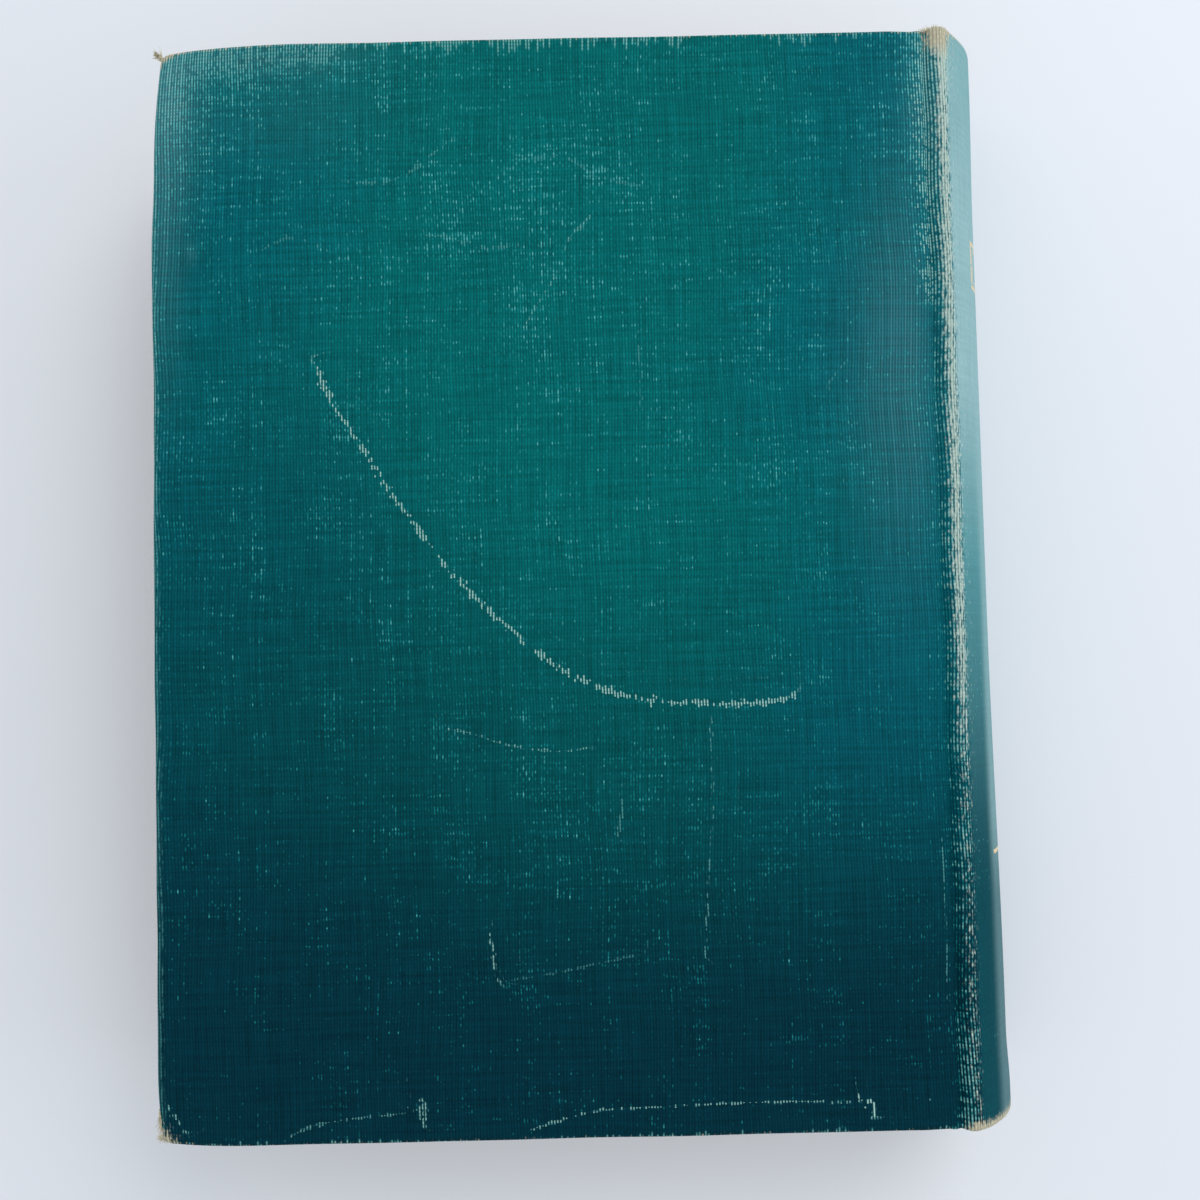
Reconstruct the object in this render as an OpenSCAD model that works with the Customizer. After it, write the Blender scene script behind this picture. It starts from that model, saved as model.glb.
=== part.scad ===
// Hardback book, closed, lying on its front cover with the head towards +Y and the spine towards +X.
// X runs across the covers, Y along the spine, and Z through the thickness.
// The origin is the middle of the underside.
// Each half of the case is drawn above the middle of the pages, and the front half is its mirror image.

/* [Pages] */
// Width of the pages, from the fore edge to the shoulder
page_w = 184; // [100:1:230]
// Height of the pages, from head to tail
page_h = 254; // [150:1:300]
// Thickness of the block of pages
block_t = 39; // [20:0.5:60]
// Thickness of one endpaper leaf
leaf_t = 0.2; // [0.1:0.05:0.4]

/* [Rounded back] */
// How far the rounded back stands out past the crests of the shoulders
back_rise = 10.2; // [5:0.2:14]
// Width of a shoulder at its crest
crest_w = 1.8; // [1:0.1:3]

/* [Boards] */
// Thickness of a cover board
board_t = 3; // [2:0.1:4]
// How far the covers stand out past the pages at head, tail and fore edge
square_w = 3; // [2:0.25:6]
// Gap between a board and the shoulder, which the cloth bridges
joint_gap = 4.2; // [3:0.1:9]

/* [Cloth] */
// Thickness of the book cloth
cloth_t = 0.5; // [0.3:0.05:0.8]
// Width of cloth turned in round the edges
turn_in = 15; // [10:0.5:22]

/* [Back linings] */
// Thickness of the open-weave mull on the back
mull_t = 0.4; // [0.2:0.05:0.6]
// How far the mull stops short of the cloth turned in at head and tail
mull_inset = 4; // [0.5:0.5:20]
// Width of mull that is glued to each board
flange_w = 25; // [15:1:40]
// Thickness of the paper lining over the mull
lining_t = 0.5; // [0.3:0.05:0.8]
// How far the lining stops short of each face of the block
lining_inset = 7.5; // [6:0.5:9]
// Thickness of the stiff paper inlay inside the spine cloth
inlay_t = 0.6; // [0.4:0.05:0.9]
// How far the mull and the inlay stop short of each face of the block
inlay_inset = 1; // [0.5:0.25:3]
// How much lower the head and tail bands stand than the covers
band_drop = 0.8; // [0.4:0.1:1.2]

/* [Clearances] */
// Gap between a cover and what it closes on
slip = 0.3; // [0.2:0.05:0.5]
// Thickness of a glue line on the rounded back
glue_t = 0.1; // [0.05:0.05:0.2]
// Depth of the hollow back between the lining and the inlay
hollow = 0.8; // [0.8:0.05:1.2]

/* [Hidden] */
$fn = 160;

// Levels above the middle of the pages, from the pages outwards
page_z = block_t / 2;
leaf_z = page_z + leaf_t;
paste_z = leaf_z + slip;
turn_z = paste_z + leaf_t;
board_z = turn_z + cloth_t;
face_z = board_z + board_t;
outer_z = face_z + cloth_t;
crest_z = face_z - slip;

// Overall height of the covers, length of the mull, and the stack of layers on the rounded back
cover_h = page_h + 2 * square_w;
mull_h = cover_h - 2 * turn_in - 2 * mull_inset;
back_stack = 2 * glue_t + mull_t + lining_t + hollow + inlay_t + cloth_t;

// Places across the book, from the fore edge of the covers to the crown of the spine
total_w = square_w + page_w + crest_w + back_rise + back_stack;
fore_x = -total_w / 2;
page_x = fore_x + square_w;
shoulder_x = page_x + page_w;
wall_x = shoulder_x - slip - cloth_t;
board_x = shoulder_x - joint_gap;
joint_x = board_x + cloth_t;
ridge_x = shoulder_x + crest_w + slip + cloth_t;
block_crown_x = shoulder_x + crest_w + back_rise;
crown_x = total_w / 2;

// A circle through the crests of both shoulders and the crown of the block
block_r = arc_radius(crest_z, back_rise);
block_x = block_crown_x - block_r;
// A circle through both ridges and the crown of the spine
spine_r = arc_radius(outer_z, crown_x - ridge_x);
spine_x = crown_x - spine_r;

mull_r = block_r + glue_t;
lining_r = mull_r + mull_t + glue_t;
inlay_r = spine_r - cloth_t - inlay_t;
inlay_z = page_z - inlay_inset;

// A band lies on the edge of the pages, just inside the back of the block
band_d = square_w - band_drop;
band_r = block_r - slip - band_d / 2;

// Longer than any piece, for cuts that run right through
past = 400;

// Radius of an arc with this half chord and this rise
function arc_radius(half, rise) = (half * half + rise * rise) / (2 * rise);

// The middle of the pages lies half the thickness of the book above the underside
module in_place(mirrored = false) {
    translate([0, 0, outer_z]) mirror([0, 0, mirrored ? 1 : 0]) children();
}

// A profile across the book, drawn as X and height, carried along Y
module along_spine(height) {
    rotate([90, 0, 0]) linear_extrude(height, center = true) children();
}

// A box from one X and level to another, centred on Y
module slab(x_from, x_to, height, z_from, z_to) {
    translate([x_from, -height / 2, z_from]) cube([x_to - x_from, height, z_to - z_from]);
}

// A ring profile about a point on the middle line, cut to a half width of the back
module back_ring(centre_x, r_in, r_out, half_w) {
    intersection() {
        translate([centre_x, 0]) difference() {
            circle(r_out);
            circle(r_in);
        }
        translate([centre_x, -half_w]) square([past, 2 * half_w]);
    }
}

// The pages: hollow fore edge, shoulders and rounded back
module text_block_shape() {
    along_spine(page_h) difference() {
        union() {
            translate([page_x, -page_z]) square([page_w, block_t]);
            intersection() {
                translate([block_x, 0]) circle(block_r);
                translate([shoulder_x, -crest_z]) square([past, 2 * crest_z]);
            }
        }
        translate([page_x - sqrt(block_r * block_r - page_z * page_z), 0]) circle(block_r);
    }
}

module flyleaf_shape() {
    slab(page_x, shoulder_x, page_h, page_z, leaf_z);
}

// A worked band along the back edge of the pages
module band_shape() {
    translate([block_x, page_h / 2 + glue_t + band_d / 2, 0]) intersection() {
        rotate([90, 0, 0]) rotate_extrude() translate([band_r, 0]) circle(d = band_d);
        translate([0, -past / 2, -page_z]) cube([past, past, block_t]);
    }
}

// Cloth over one ridge: groove floor, wall of the shoulder and top of the ridge
module ridge_profile() {
    translate([joint_x + slip, turn_z]) square([wall_x + cloth_t - joint_x - slip, cloth_t]);
    translate([wall_x, turn_z]) square([cloth_t, outer_z - turn_z]);
    translate([wall_x, face_z]) square([ridge_x - wall_x, cloth_t]);
}

// Cloth of the spine, folded in over the inlay at head and tail
module spine_cloth_shape() {
    along_spine(cover_h) {
        back_ring(spine_x, spine_r - cloth_t, spine_r, outer_z);
        ridge_profile();
        mirror([0, 1]) ridge_profile();
    }
    for (end = [-1, 1]) {
        translate([0, end * (cover_h - turn_in) / 2, 0])
            along_spine(turn_in) back_ring(spine_x, inlay_r - cloth_t, inlay_r, inlay_z);
        translate([0, end * (cover_h - cloth_t) / 2, 0])
            along_spine(cloth_t) back_ring(spine_x, inlay_r - cloth_t, spine_r, inlay_z);
    }
}

module board_shape() {
    slab(fore_x + cloth_t, board_x, cover_h - 2 * cloth_t, board_z, face_z);
}

// Cloth of one cover, wrapped round the board and turned in on its inner face
module cover_cloth_shape() {
    difference() {
        slab(fore_x, joint_x, cover_h, turn_z, outer_z);
        board_shape();
        slab(fore_x + turn_in, board_x, cover_h - 2 * turn_in, turn_z - past, board_z);
    }
}

// The mull's flange, glued to the inner face of the board
module flange_shape() {
    slab(board_x - flange_w, board_x, mull_h, board_z - mull_t, board_z);
}

// The pastedown lies over the turn-ins and the flange, and sinks to the board between them
module pastedown_shape() {
    pocket_x = fore_x + turn_in;
    pocket_end_x = board_x - flange_w;
    pocket_h = cover_h - 2 * turn_in;
    difference() {
        union() {
            slab(page_x, joint_x, page_h, paste_z, turn_z);
            slab(pocket_x, pocket_end_x, pocket_h, paste_z, board_z);
        }
        slab(pocket_x + leaf_t, pocket_end_x - leaf_t, pocket_h - 2 * leaf_t, paste_z - past, board_z - leaf_t);
    }
}

module text_block() {
    color("#e3d8bd") in_place() text_block_shape();
}

module front_flyleaf() {
    color("#e8dfc8") in_place(true) flyleaf_shape();
}

module back_flyleaf() {
    color("#e8dfc8") in_place() flyleaf_shape();
}

module spine_mull() {
    color("#cfc6a8") in_place() along_spine(mull_h)
        back_ring(block_x, mull_r, mull_r + mull_t, inlay_z);
}

module spine_lining() {
    color("#b7a27c") in_place() along_spine(cover_h - 2 * turn_in - 2 * slip)
        back_ring(block_x, lining_r, lining_r + lining_t, page_z - lining_inset);
}

module head_band() {
    color("#b9c2a4") in_place() band_shape();
}

module tail_band() {
    color("#b9c2a4") in_place() mirror([0, 1, 0]) band_shape();
}

module spine_inlay() {
    color("#a08c66") in_place() along_spine(cover_h - 2 * cloth_t)
        back_ring(spine_x, inlay_r, inlay_r + inlay_t, inlay_z);
}

module spine_cloth() {
    color("#5f9aa0") in_place() spine_cloth_shape();
}

module front_board() {
    color("#8d8168") in_place(true) board_shape();
}

module front_cloth() {
    color("#0a5f66") in_place(true) cover_cloth_shape();
}

module front_pastedown() {
    color("#e8dfc8") in_place(true) pastedown_shape();
}

module front_mull_flange() {
    color("#cfc6a8") in_place(true) flange_shape();
}

module back_board() {
    color("#8d8168") in_place() board_shape();
}

module back_cloth() {
    color("#0a5f66") in_place() cover_cloth_shape();
}

module back_pastedown() {
    color("#e8dfc8") in_place() pastedown_shape();
}

module back_mull_flange() {
    color("#cfc6a8") in_place() flange_shape();
}

text_block();
front_flyleaf();
back_flyleaf();
spine_mull();
spine_lining();
head_band();
tail_band();
spine_inlay();
spine_cloth();
front_board();
front_cloth();
front_pastedown();
front_mull_flange();
back_board();
back_cloth();
back_pastedown();
back_mull_flange();
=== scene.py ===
import math

import bpy
import numpy as np
from mathutils import Matrix, Vector


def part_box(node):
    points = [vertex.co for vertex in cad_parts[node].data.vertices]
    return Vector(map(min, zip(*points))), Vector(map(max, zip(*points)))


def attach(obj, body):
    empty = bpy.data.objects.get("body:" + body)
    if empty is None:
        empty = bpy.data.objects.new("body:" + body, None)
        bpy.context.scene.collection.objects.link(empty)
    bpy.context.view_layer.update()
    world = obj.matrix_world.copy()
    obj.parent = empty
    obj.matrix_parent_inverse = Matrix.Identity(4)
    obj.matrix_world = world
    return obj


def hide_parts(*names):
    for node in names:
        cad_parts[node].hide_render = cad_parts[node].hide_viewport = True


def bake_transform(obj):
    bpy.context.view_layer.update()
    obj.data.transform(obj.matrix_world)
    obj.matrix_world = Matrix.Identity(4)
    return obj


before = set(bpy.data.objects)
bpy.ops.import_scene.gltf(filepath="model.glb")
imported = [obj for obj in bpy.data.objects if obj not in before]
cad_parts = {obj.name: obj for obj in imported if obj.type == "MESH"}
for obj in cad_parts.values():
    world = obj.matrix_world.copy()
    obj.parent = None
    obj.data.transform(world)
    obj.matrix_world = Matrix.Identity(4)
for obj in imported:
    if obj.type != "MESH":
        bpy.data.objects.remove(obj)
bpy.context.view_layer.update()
print("frame loaded:", len(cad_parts), "nodes")

# Shapes are worked out in millimetres and turned into metres as each mesh is made.
# Each half of the case is worked out above the middle of the pages: x across, y along the spine, h outwards.
mm = 0.001
scene = bpy.context.scene


def boxOf(node):
    low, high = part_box(node)
    return np.array(low) / mm, np.array(high) / mm


coverLow, coverHigh = boxOf("back_cloth")
_, spineHigh = boxOf("spine_cloth")
blockLow, blockHigh = boxOf("text_block")
boardLow, boardHigh = boxOf("back_board")
leafLow, leafHigh = boxOf("back_flyleaf")
pasteLow, _ = boxOf("back_pastedown")
bandLow, bandHigh = boxOf("head_band")

middle = spineHigh[2] / 2  # height of the middle of the pages
outer = coverHigh[2] - middle  # outer face of a cover
turnedIn = coverLow[2] - middle  # inner face of the cloth turned in
foreX = coverLow[0]  # fore edge of the covers
crownX = spineHigh[0]  # crown of the spine
headY = coverHigh[1]  # head edge; the tail is at -headY
pageX = blockLow[0]
pageY = blockHigh[1]
pageH = leafLow[2] - middle  # face of the block of pages

sideSign = {"back": 1, "front": -1}


def bell(value, wide):
    # 1 at 0, and down to 0.37 at wide on either side.
    return np.exp(-((value / wide) ** 2))


def smooth(low, high, value):
    # 0 below low, 1 above high, and an S curve between them.
    t = np.clip((value - low) / (high - low), 0, 1)
    return t * t * (3 - 2 * t)


def waves(x, y, length, seed, count=7):
    # A sum of sine waves of about one length in random directions, from about -1 to 1.
    draw = np.random.default_rng(seed)
    total = np.zeros(np.broadcast(x, y).shape)
    for _ in range(count):
        angle, phase = draw.uniform(0, 2 * math.pi, 2)
        pitch = length * draw.uniform(0.7, 1.5)
        total += np.sin(2 * math.pi * (x * math.cos(angle) + y * math.sin(angle)) / pitch + phase)
    return total / math.sqrt(2 * count)


def makePiece(name, points, faces, material, fields=None, flip=False, sharpAngle=None):
    # Puts points, in millimetres, and faces into a mesh, with a field for each named array.
    mesh = bpy.data.meshes.new(name)
    faces = faces[:, ::-1] if flip else faces
    mesh.from_pydata((points * mm).tolist(), [], faces.tolist())
    for key, values in (fields or {}).items():
        isVector = values.ndim == 2
        layer = mesh.attributes.new(key, "FLOAT_VECTOR" if isVector else "FLOAT", "POINT")
        layer.data.foreach_set("vector" if isVector else "value", values.astype(np.float32).ravel())
    mesh.polygons.foreach_set("use_smooth", np.ones(len(mesh.polygons), bool))
    if sharpAngle:
        mesh.set_sharp_from_angle(angle=math.radians(sharpAngle))
    mesh.materials.append(material)
    mesh.update()
    piece = bpy.data.objects.new(name, mesh)
    scene.collection.objects.link(piece)
    return piece


def gridFaces(rows, columns, closed=False):
    # Quads of a grid of rows by columns of points; closed joins the last column to the first.
    r = np.arange(rows - 1)[:, None]
    c = np.arange(columns if closed else columns - 1)[None, :]
    n = (c + 1) % columns
    quads = [r * columns + c, r * columns + n, (r + 1) * columns + n, (r + 1) * columns + c]
    return np.stack(quads, -1).reshape(-1, 4)


def thickened(points, faces, thickness, inwards, fields):
    # Gives a sheet of quads two faces and a rim: each point moves along the mean normal of its quads, by
    # thickness times inwards to the inside and the rest outwards. Quads close the border's edges.
    diagonals = points[faces[:, 2]] - points[faces[:, 0]], points[faces[:, 3]] - points[faces[:, 1]]
    quadNormals = np.cross(*diagonals)
    normals = np.zeros(points.shape)
    for k in range(4):
        np.add.at(normals, faces[:, k], quadNormals)
    normals /= np.linalg.norm(normals, axis=1)[:, None] + 1e-12
    count = len(points)
    edges = np.concatenate([faces[:, [k, (k + 1) % 4]] for k in range(4)])
    alone = ~np.isin(edges[:, 0] * count + edges[:, 1], edges[:, 1] * count + edges[:, 0])
    a, b = edges[alone].T
    rim = np.stack([b, a, a + count, b + count], 1)
    outside = points + normals * thickness * (1 - inwards)
    inside = points - normals * thickness * inwards
    fields = {key: np.concatenate([values, values]) for key, values in fields.items()}
    return np.concatenate([outside, inside]), np.concatenate([faces, faces[:, ::-1] + count, rim]), fields


def shellLattice(nx, ny, nz):
    # The surface of a lattice of nx by ny by nz cells: its points' whole-number places, and outward quads.
    size = (nx, ny, nz)
    corners = []
    for axis in range(3):
        a, b = (axis + 1) % 3, (axis + 2) % 3
        ia, ib = np.meshgrid(np.arange(size[a]), np.arange(size[b]), indexing="ij")
        for end in (0, 1):
            turns = ((0, 0), (1, 0), (1, 1), (0, 1)) if end else ((0, 0), (0, 1), (1, 1), (1, 0))
            quad = np.zeros((ia.size, 4, 3), int)
            for k, (da, db) in enumerate(turns):
                quad[:, k, axis] = end * size[axis]
                quad[:, k, a] = (ia + da).ravel()
                quad[:, k, b] = (ib + db).ravel()
            corners.append(quad)
    corners = np.concatenate(corners)
    places, index = np.unique(corners.reshape(-1, 3), axis=0, return_inverse=True)
    return places, index.reshape(-1, 4)


def steps(*stops):
    # Places from one stop to the next; each stop after the first is (place, largest step).
    found = [np.array([float(stops[0])])]
    for to, step in stops[1:]:
        start = found[-1][-1]
        count = max(1, math.ceil((to - start) / step))
        found.append(np.linspace(start, to, count + 1)[1:])
    return np.concatenate(found)


def bothWays(half, *stops):
    # Places from -half to half, by stops that are given from each end inwards.
    places = half - steps(0, *stops)
    return np.concatenate([-places, places[::-1][1:]])


def arcRadius(half, rise):
    # Radius of an arc from its half chord and its rise.
    return (half**2 + rise**2) / (2 * rise)


# Camera, at the photo's angle
cameraValues = {
    "place": (2.8, -18.7, 331.8),
    "turn": (2.63, -0.18, -1.27),  # degrees about X, Y and Z
    "focalPixels": 1203.4,
    "imagePixels": 1200,
    "sensor": 36.0,
}


def cameraTurn():
    x, y, z = (math.radians(a) for a in cameraValues["turn"])
    return Matrix.Rotation(x, 4, "X") @ Matrix.Rotation(y, 4, "Y") @ Matrix.Rotation(z, 4, "Z")


def makeCamera():
    data = bpy.data.cameras.new("bookCamera")
    data.sensor_width = cameraValues["sensor"]
    data.lens = cameraValues["sensor"] * cameraValues["focalPixels"] / cameraValues["imagePixels"]
    data.clip_start = 0.01
    data.clip_end = 50
    camera = bpy.data.objects.new("bookCamera", data)
    camera.matrix_world = Matrix.Translation(Vector(cameraValues["place"]) * mm) @ cameraTurn()
    scene.collection.objects.link(camera)
    scene.camera = camera


def onCover(pixel):
    # The point of the back cover's outer face that a pixel of the photo shows, in millimetres.
    half = cameraValues["imagePixels"] / 2
    ray = Vector(((pixel[0] - half), (half - pixel[1]), -cameraValues["focalPixels"]))
    ray = cameraTurn().to_3x3() @ ray
    place = Vector(cameraValues["place"])
    hit = place + ray * ((middle + outer - place.z) / ray.z)
    return hit.x, hit.y


makeCamera()
print("camera set")


# Shader helpers
class Value:
    # What a node puts out. Arithmetic on it places Math nodes, so a formula stands as it is read.
    __array_ufunc__ = None  # numpy's numbers leave arithmetic with a Value to this class

    def __init__(self, socket):
        self.socket = socket

    def __add__(self, other):
        return calc("ADD", self, other)

    def __radd__(self, other):
        return calc("ADD", other, self)

    def __sub__(self, other):
        return calc("SUBTRACT", self, other)

    def __rsub__(self, other):
        return calc("SUBTRACT", other, self)

    def __mul__(self, other):
        return calc("MULTIPLY", self, other)

    def __truediv__(self, other):
        return calc("DIVIDE", self, other)

    def __pow__(self, other):
        return calc("POWER", self, other)

    def __abs__(self):
        return calc("ABSOLUTE", self)


def feed(socket, value):
    # Links a Value to a node's input, or sets the input to a plain number or colour.
    if isinstance(value, Value):
        socket.id_data.links.new(value.socket, socket)
    else:
        socket.default_value = value


def node(tree, kind, inputs, **settings):
    made = tree.nodes.new(kind)
    for key, value in settings.items():
        setattr(made, key, value)
    for key, value in inputs.items():
        feed(made.inputs[key], value)
    return made


def outputOf(tree, kind, key, inputs, **settings):
    # Places a node and gives one of its outputs.
    return Value(node(tree, kind, inputs, **settings).outputs[key])


def treeOf(*values):
    return next(value.socket.id_data for value in values if isinstance(value, Value))


def calc(operation, *values, clamp=False):
    inputs = dict(enumerate(values))
    return outputOf(treeOf(*values), "ShaderNodeMath", 0, inputs, operation=operation, use_clamp=clamp)


def larger(value, *others):
    for other in others:
        value = calc("MAXIMUM", value, other)
    return value


def smaller(value, *others):
    for other in others:
        value = calc("MINIMUM", value, other)
    return value


def ramp(value, low, high, start=0.0, end=1.0):
    # An S curve from start at low to end at high.
    inputs = {"Value": value, "From Min": low, "From Max": high, "To Min": start, "To Max": end}
    return outputOf(treeOf(value), "ShaderNodeMapRange", 0, inputs, interpolation_type="SMOOTHSTEP")


def mixColour(share, first, second, blend="MIX"):
    colours = [value if isinstance(value, Value) else (*value, 1) for value in (first, second)]
    inputs = {0: share, 6: colours[0], 7: colours[1]}
    tree = treeOf(share, first, second)
    return outputOf(tree, "ShaderNodeMix", 2, inputs, data_type="RGBA", blend_type=blend)


def noise(vector, scale, detail=2.0, roughness=0.5, dimensions="3D"):
    inputs = {"Vector": vector, "Scale": scale, "Detail": detail, "Roughness": roughness}
    return outputOf(treeOf(vector), "ShaderNodeTexNoise", "Fac", inputs, noise_dimensions=dimensions)


def flatNoise(vector, scale, detail=2.0, roughness=0.5):
    return noise(vector, scale, detail, roughness, "2D")


def stretched(vector, factors, add=(0.0, 0.0, 0.0)):
    inputs = {0: vector, 1: factors, 2: add}
    return outputOf(treeOf(vector), "ShaderNodeVectorMath", 0, inputs, operation="MULTIPLY_ADD")


def split(vector):
    return [Value(s) for s in node(treeOf(vector), "ShaderNodeSeparateXYZ", {0: vector}).outputs]


def join(x, y, z=0.0):
    return outputOf(treeOf(x, y, z), "ShaderNodeCombineXYZ", 0, {0: x, 1: y, 2: z})


def shaded(colour, shade):
    # A colour times a number.
    return mixColour(1.0, colour, join(shade, shade, shade), "MULTIPLY")


def objectPlace(tree):
    return outputOf(tree, "ShaderNodeTexCoord", "Object", {})


def attribute(tree, name, key="Vector"):
    return outputOf(tree, "ShaderNodeAttribute", key, {}, attribute_name=name, attribute_type="GEOMETRY")


def newGroup(name, inputs, outputs):
    # A shader group, with the names of its inputs and outputs. Flat, Field and Vector are vectors.
    group = bpy.data.node_groups.new(name, "ShaderNodeTree")
    for way, keys in (("INPUT", inputs), ("OUTPUT", outputs)):
        for key in keys:
            kind = "NodeSocketVector" if key in ("Flat", "Field", "Vector") else "NodeSocketFloat"
            group.interface.new_socket(key, in_out=way, socket_type=kind)
    enters = group.nodes.new("NodeGroupInput").outputs
    given = {key: Value(enters[key]) for key in inputs}
    return group, given, group.nodes.new("NodeGroupOutput").inputs


def useGroup(group, **inputs):
    made = node(treeOf(*inputs.values()), "ShaderNodeGroup", {}, node_tree=group)
    for key, value in inputs.items():
        feed(made.inputs[key], value)
    return {socket.name: Value(socket) for socket in made.outputs}


def newMaterial(name, roughness=0.8, specular=0.3, **fixed):
    # A material with one Principled shader; fixed gives plain values of its other sockets.
    material = bpy.data.materials.new(name)
    material.use_nodes = True
    tree = material.node_tree
    shader = next(n for n in tree.nodes if n.type == "BSDF_PRINCIPLED")
    shader.inputs["Roughness"].default_value = roughness
    shader.inputs["Specular IOR Level"].default_value = specular
    for key, value in fixed.items():
        shader.inputs[key].default_value = value
    return material, tree, shader


def dress(shader, colour, height, relief):
    # Colour, and a bump of this many millimetres where height goes from 0 to 1.
    feed(shader.inputs["Base Color"], colour)
    inputs = {"Height": height, "Distance": relief * mm, "Strength": 1.0}
    feed(shader.inputs["Normal"], outputOf(treeOf(height), "ShaderNodeBump", 0, inputs))


# Plain weave, in the cloth's own flat coordinates
def makeWeaveGroup():
    # Plain weave, where a and b count warp and weft threads: sin(a) sin(b) changes sign from cell to cell,
    # so it is high where the warp lies over the weft and low where it lies under it.
    ins, outs = ("Flat", "WarpPitch", "WeftPitch", "Wander"), ("Height", "Thread", "Cell", "Warp", "Column")
    group, given, out = newGroup("weave", ins, outs)
    wander = (flatNoise(given["Flat"], 0.035, 0.0) - 0.5) * given["Wander"]
    x, y, _ = split(given["Flat"])
    a = (x + wander) / given["WarpPitch"]
    b = (y + wander) / given["WeftPitch"]
    sineA = calc("SINE", a * math.pi)
    sineB = calc("SINE", b * math.pi)
    over = sineA * sineB
    height = abs(sineA) * 0.58 + larger(over, 0.0) * 0.42 + larger(over * -1.0, 0.0) * 0.14
    cellA = calc("FLOOR", a)
    cellB = calc("FLOOR", b)
    for key, cell in (("Cell", join(cellA, cellB)), ("Warp", join(cellA, 0.5))):
        random = outputOf(group, "ShaderNodeTexWhiteNoise", "Value", {"Vector": cell}, noise_dimensions="3D")
        feed(out[key], random)
    feed(out["Height"], height)
    feed(out["Column"], cellA)
    tops = ramp(abs(sineB), 0.25, 0.85, 0.58, 1.0)
    feed(out["Thread"], ramp(abs(sineA), 0.68, 0.97) * tops)
    return group


def makeScuffGroup():
    # Worn threads: Amount, plus noise along each thread, noise shared by the threads of a row, patches
    # and a random share for each thread, is cut low for Faint and high for Strong. Only the tops of the
    # warp show it.
    ins = ("Flat", "Amount", "Thread", "Column", "Warp")
    group, given, out = newGroup("scuffDashes", ins, ("Faint", "Strong"))
    _, y, _ = split(given["Flat"])
    apart = given["Column"] * 17.7
    total = given["Amount"]
    for source, weight in (
        (flatNoise(join(apart, y * 0.90), 1.0, 0.0), 1.55),
        (flatNoise(stretched(given["Flat"], (0.10, 1.0, 0)), 1.0, 1.0), 1.6),
        (flatNoise(given["Flat"], 0.06, 1.0), 0.8),
        (given["Warp"], 0.36),
    ):
        total = total + (source - 0.5) * weight
    for key, low, high in (("Faint", 0.00, 0.60), ("Strong", 0.50, 0.95)):
        feed(out[key], ramp(total, low, high) * given["Thread"])
    return group


def makeStrokeGroup():
    # A scratch: Field holds the distance across as a share of half its width, the distance along it and
    # its strength. Ragged wears every thread over a length of its own, and the strength comes and goes.
    group, given, out = newGroup("scratch", ("Field", "Ragged", "Thread"), ("Mask",))
    across, along, strength = split(given["Field"])
    breaks = flatNoise(join(along, 3.3), 0.42, 0.0)
    across = abs(across) + (given["Ragged"] - 0.46) * 6.5 - (breaks - 0.5) * 2.6
    mask = ramp(across, 1.2, 0.7) * (given["Thread"] * 0.94 + 0.06)
    feed(out["Mask"], calc("MULTIPLY", mask, strength, clamp=True))
    return group


def makeFibreGroup():
    # Paper and board: fine fibres, soft mottling and a few darker specks.
    group, given, out = newGroup("paperFibre", ("Vector", "Scale"), ("Fibre", "Mottle", "Speck"))
    inputs = {0: given["Vector"], 3: given["Scale"]}
    at = outputOf(group, "ShaderNodeVectorMath", 0, inputs, operation="SCALE")
    feed(out["Fibre"], noise(stretched(at, (1.0, 0.35, 1.0)), 2600.0, 3.0, 0.6))
    feed(out["Mottle"], noise(at, 45.0, 3.0))
    feed(out["Speck"], ramp(noise(at, 900.0, 1.0), 0.70, 0.76))
    return group


weaveGroup = makeWeaveGroup()
scuffGroup = makeScuffGroup()
strokeGroup = makeStrokeGroup()
fibreGroup = makeFibreGroup()


# The section of the case
caseValues = {
    "clothThick": 0.45,
    "spineRise": 12.4,  # crown above the ridges
    "slopeFrom": 74.5,  # the board's face falls towards the joint
    "slopeTo": 84.6,
    "slopeDrop": 0.75,
    "grooveAt": 85.0,
    "grooveWide": 0.75,
    "grooveDeep": 0.85,
    "riseFrom": 85.3,
    "riseTo": 87.2,
    "ridgeRound": 0.14,
    "ridgeTop": 88.2,
    "boardEdge": 81.8,
    "edgeRound": 0.85,  # cloth round a board's edge
    "cornerRound": 2.1,
    "turnIn": 15.0,
    "foldJoint": 1.0,  # two layers of cloth
    "foldSpine": 1.6,  # two layers with the inlay between them
}
spineRadius = arcRadius(outer, caseValues["spineRise"])
spineCentre = crownX - spineRadius


def coverHeight(x):
    # Outer face of the case over the board and joint: a slope, a groove, and the rise to the ridge.
    v = caseValues
    falls = v["slopeDrop"] * smooth(v["slopeFrom"], v["slopeTo"], x)
    falls = falls * (1 - smooth(v["riseFrom"], v["riseTo"], x))
    groove = v["grooveDeep"] * bell(x - v["grooveAt"], v["grooveWide"])
    return outer - falls - groove


def caseSection():
    # Points from the fore edge to the crown: the cover's face, softly cut by the spine's circle, then
    # the rest of the circle. Returns length along it, x and h.
    k = caseValues["ridgeRound"]
    x = np.arange(foreX, 90, 0.05)
    circle = np.sqrt(np.maximum(spineRadius**2 - np.maximum(x - spineCentre, 0) ** 2, 0))
    circle = np.minimum(circle, outer + 4)
    h = -k * np.logaddexp(-coverHeight(x) / k, -circle / k)
    angle = np.linspace(math.acos((x[-1] - spineCentre) / spineRadius), 0, 200)[1:]
    x = np.concatenate([x, spineCentre + spineRadius * np.cos(angle)])
    h = np.concatenate([h, spineRadius * np.sin(angle)])
    length = np.concatenate([[0], np.cumsum(np.hypot(np.diff(x), np.diff(h)))])
    return length, x, h


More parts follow.
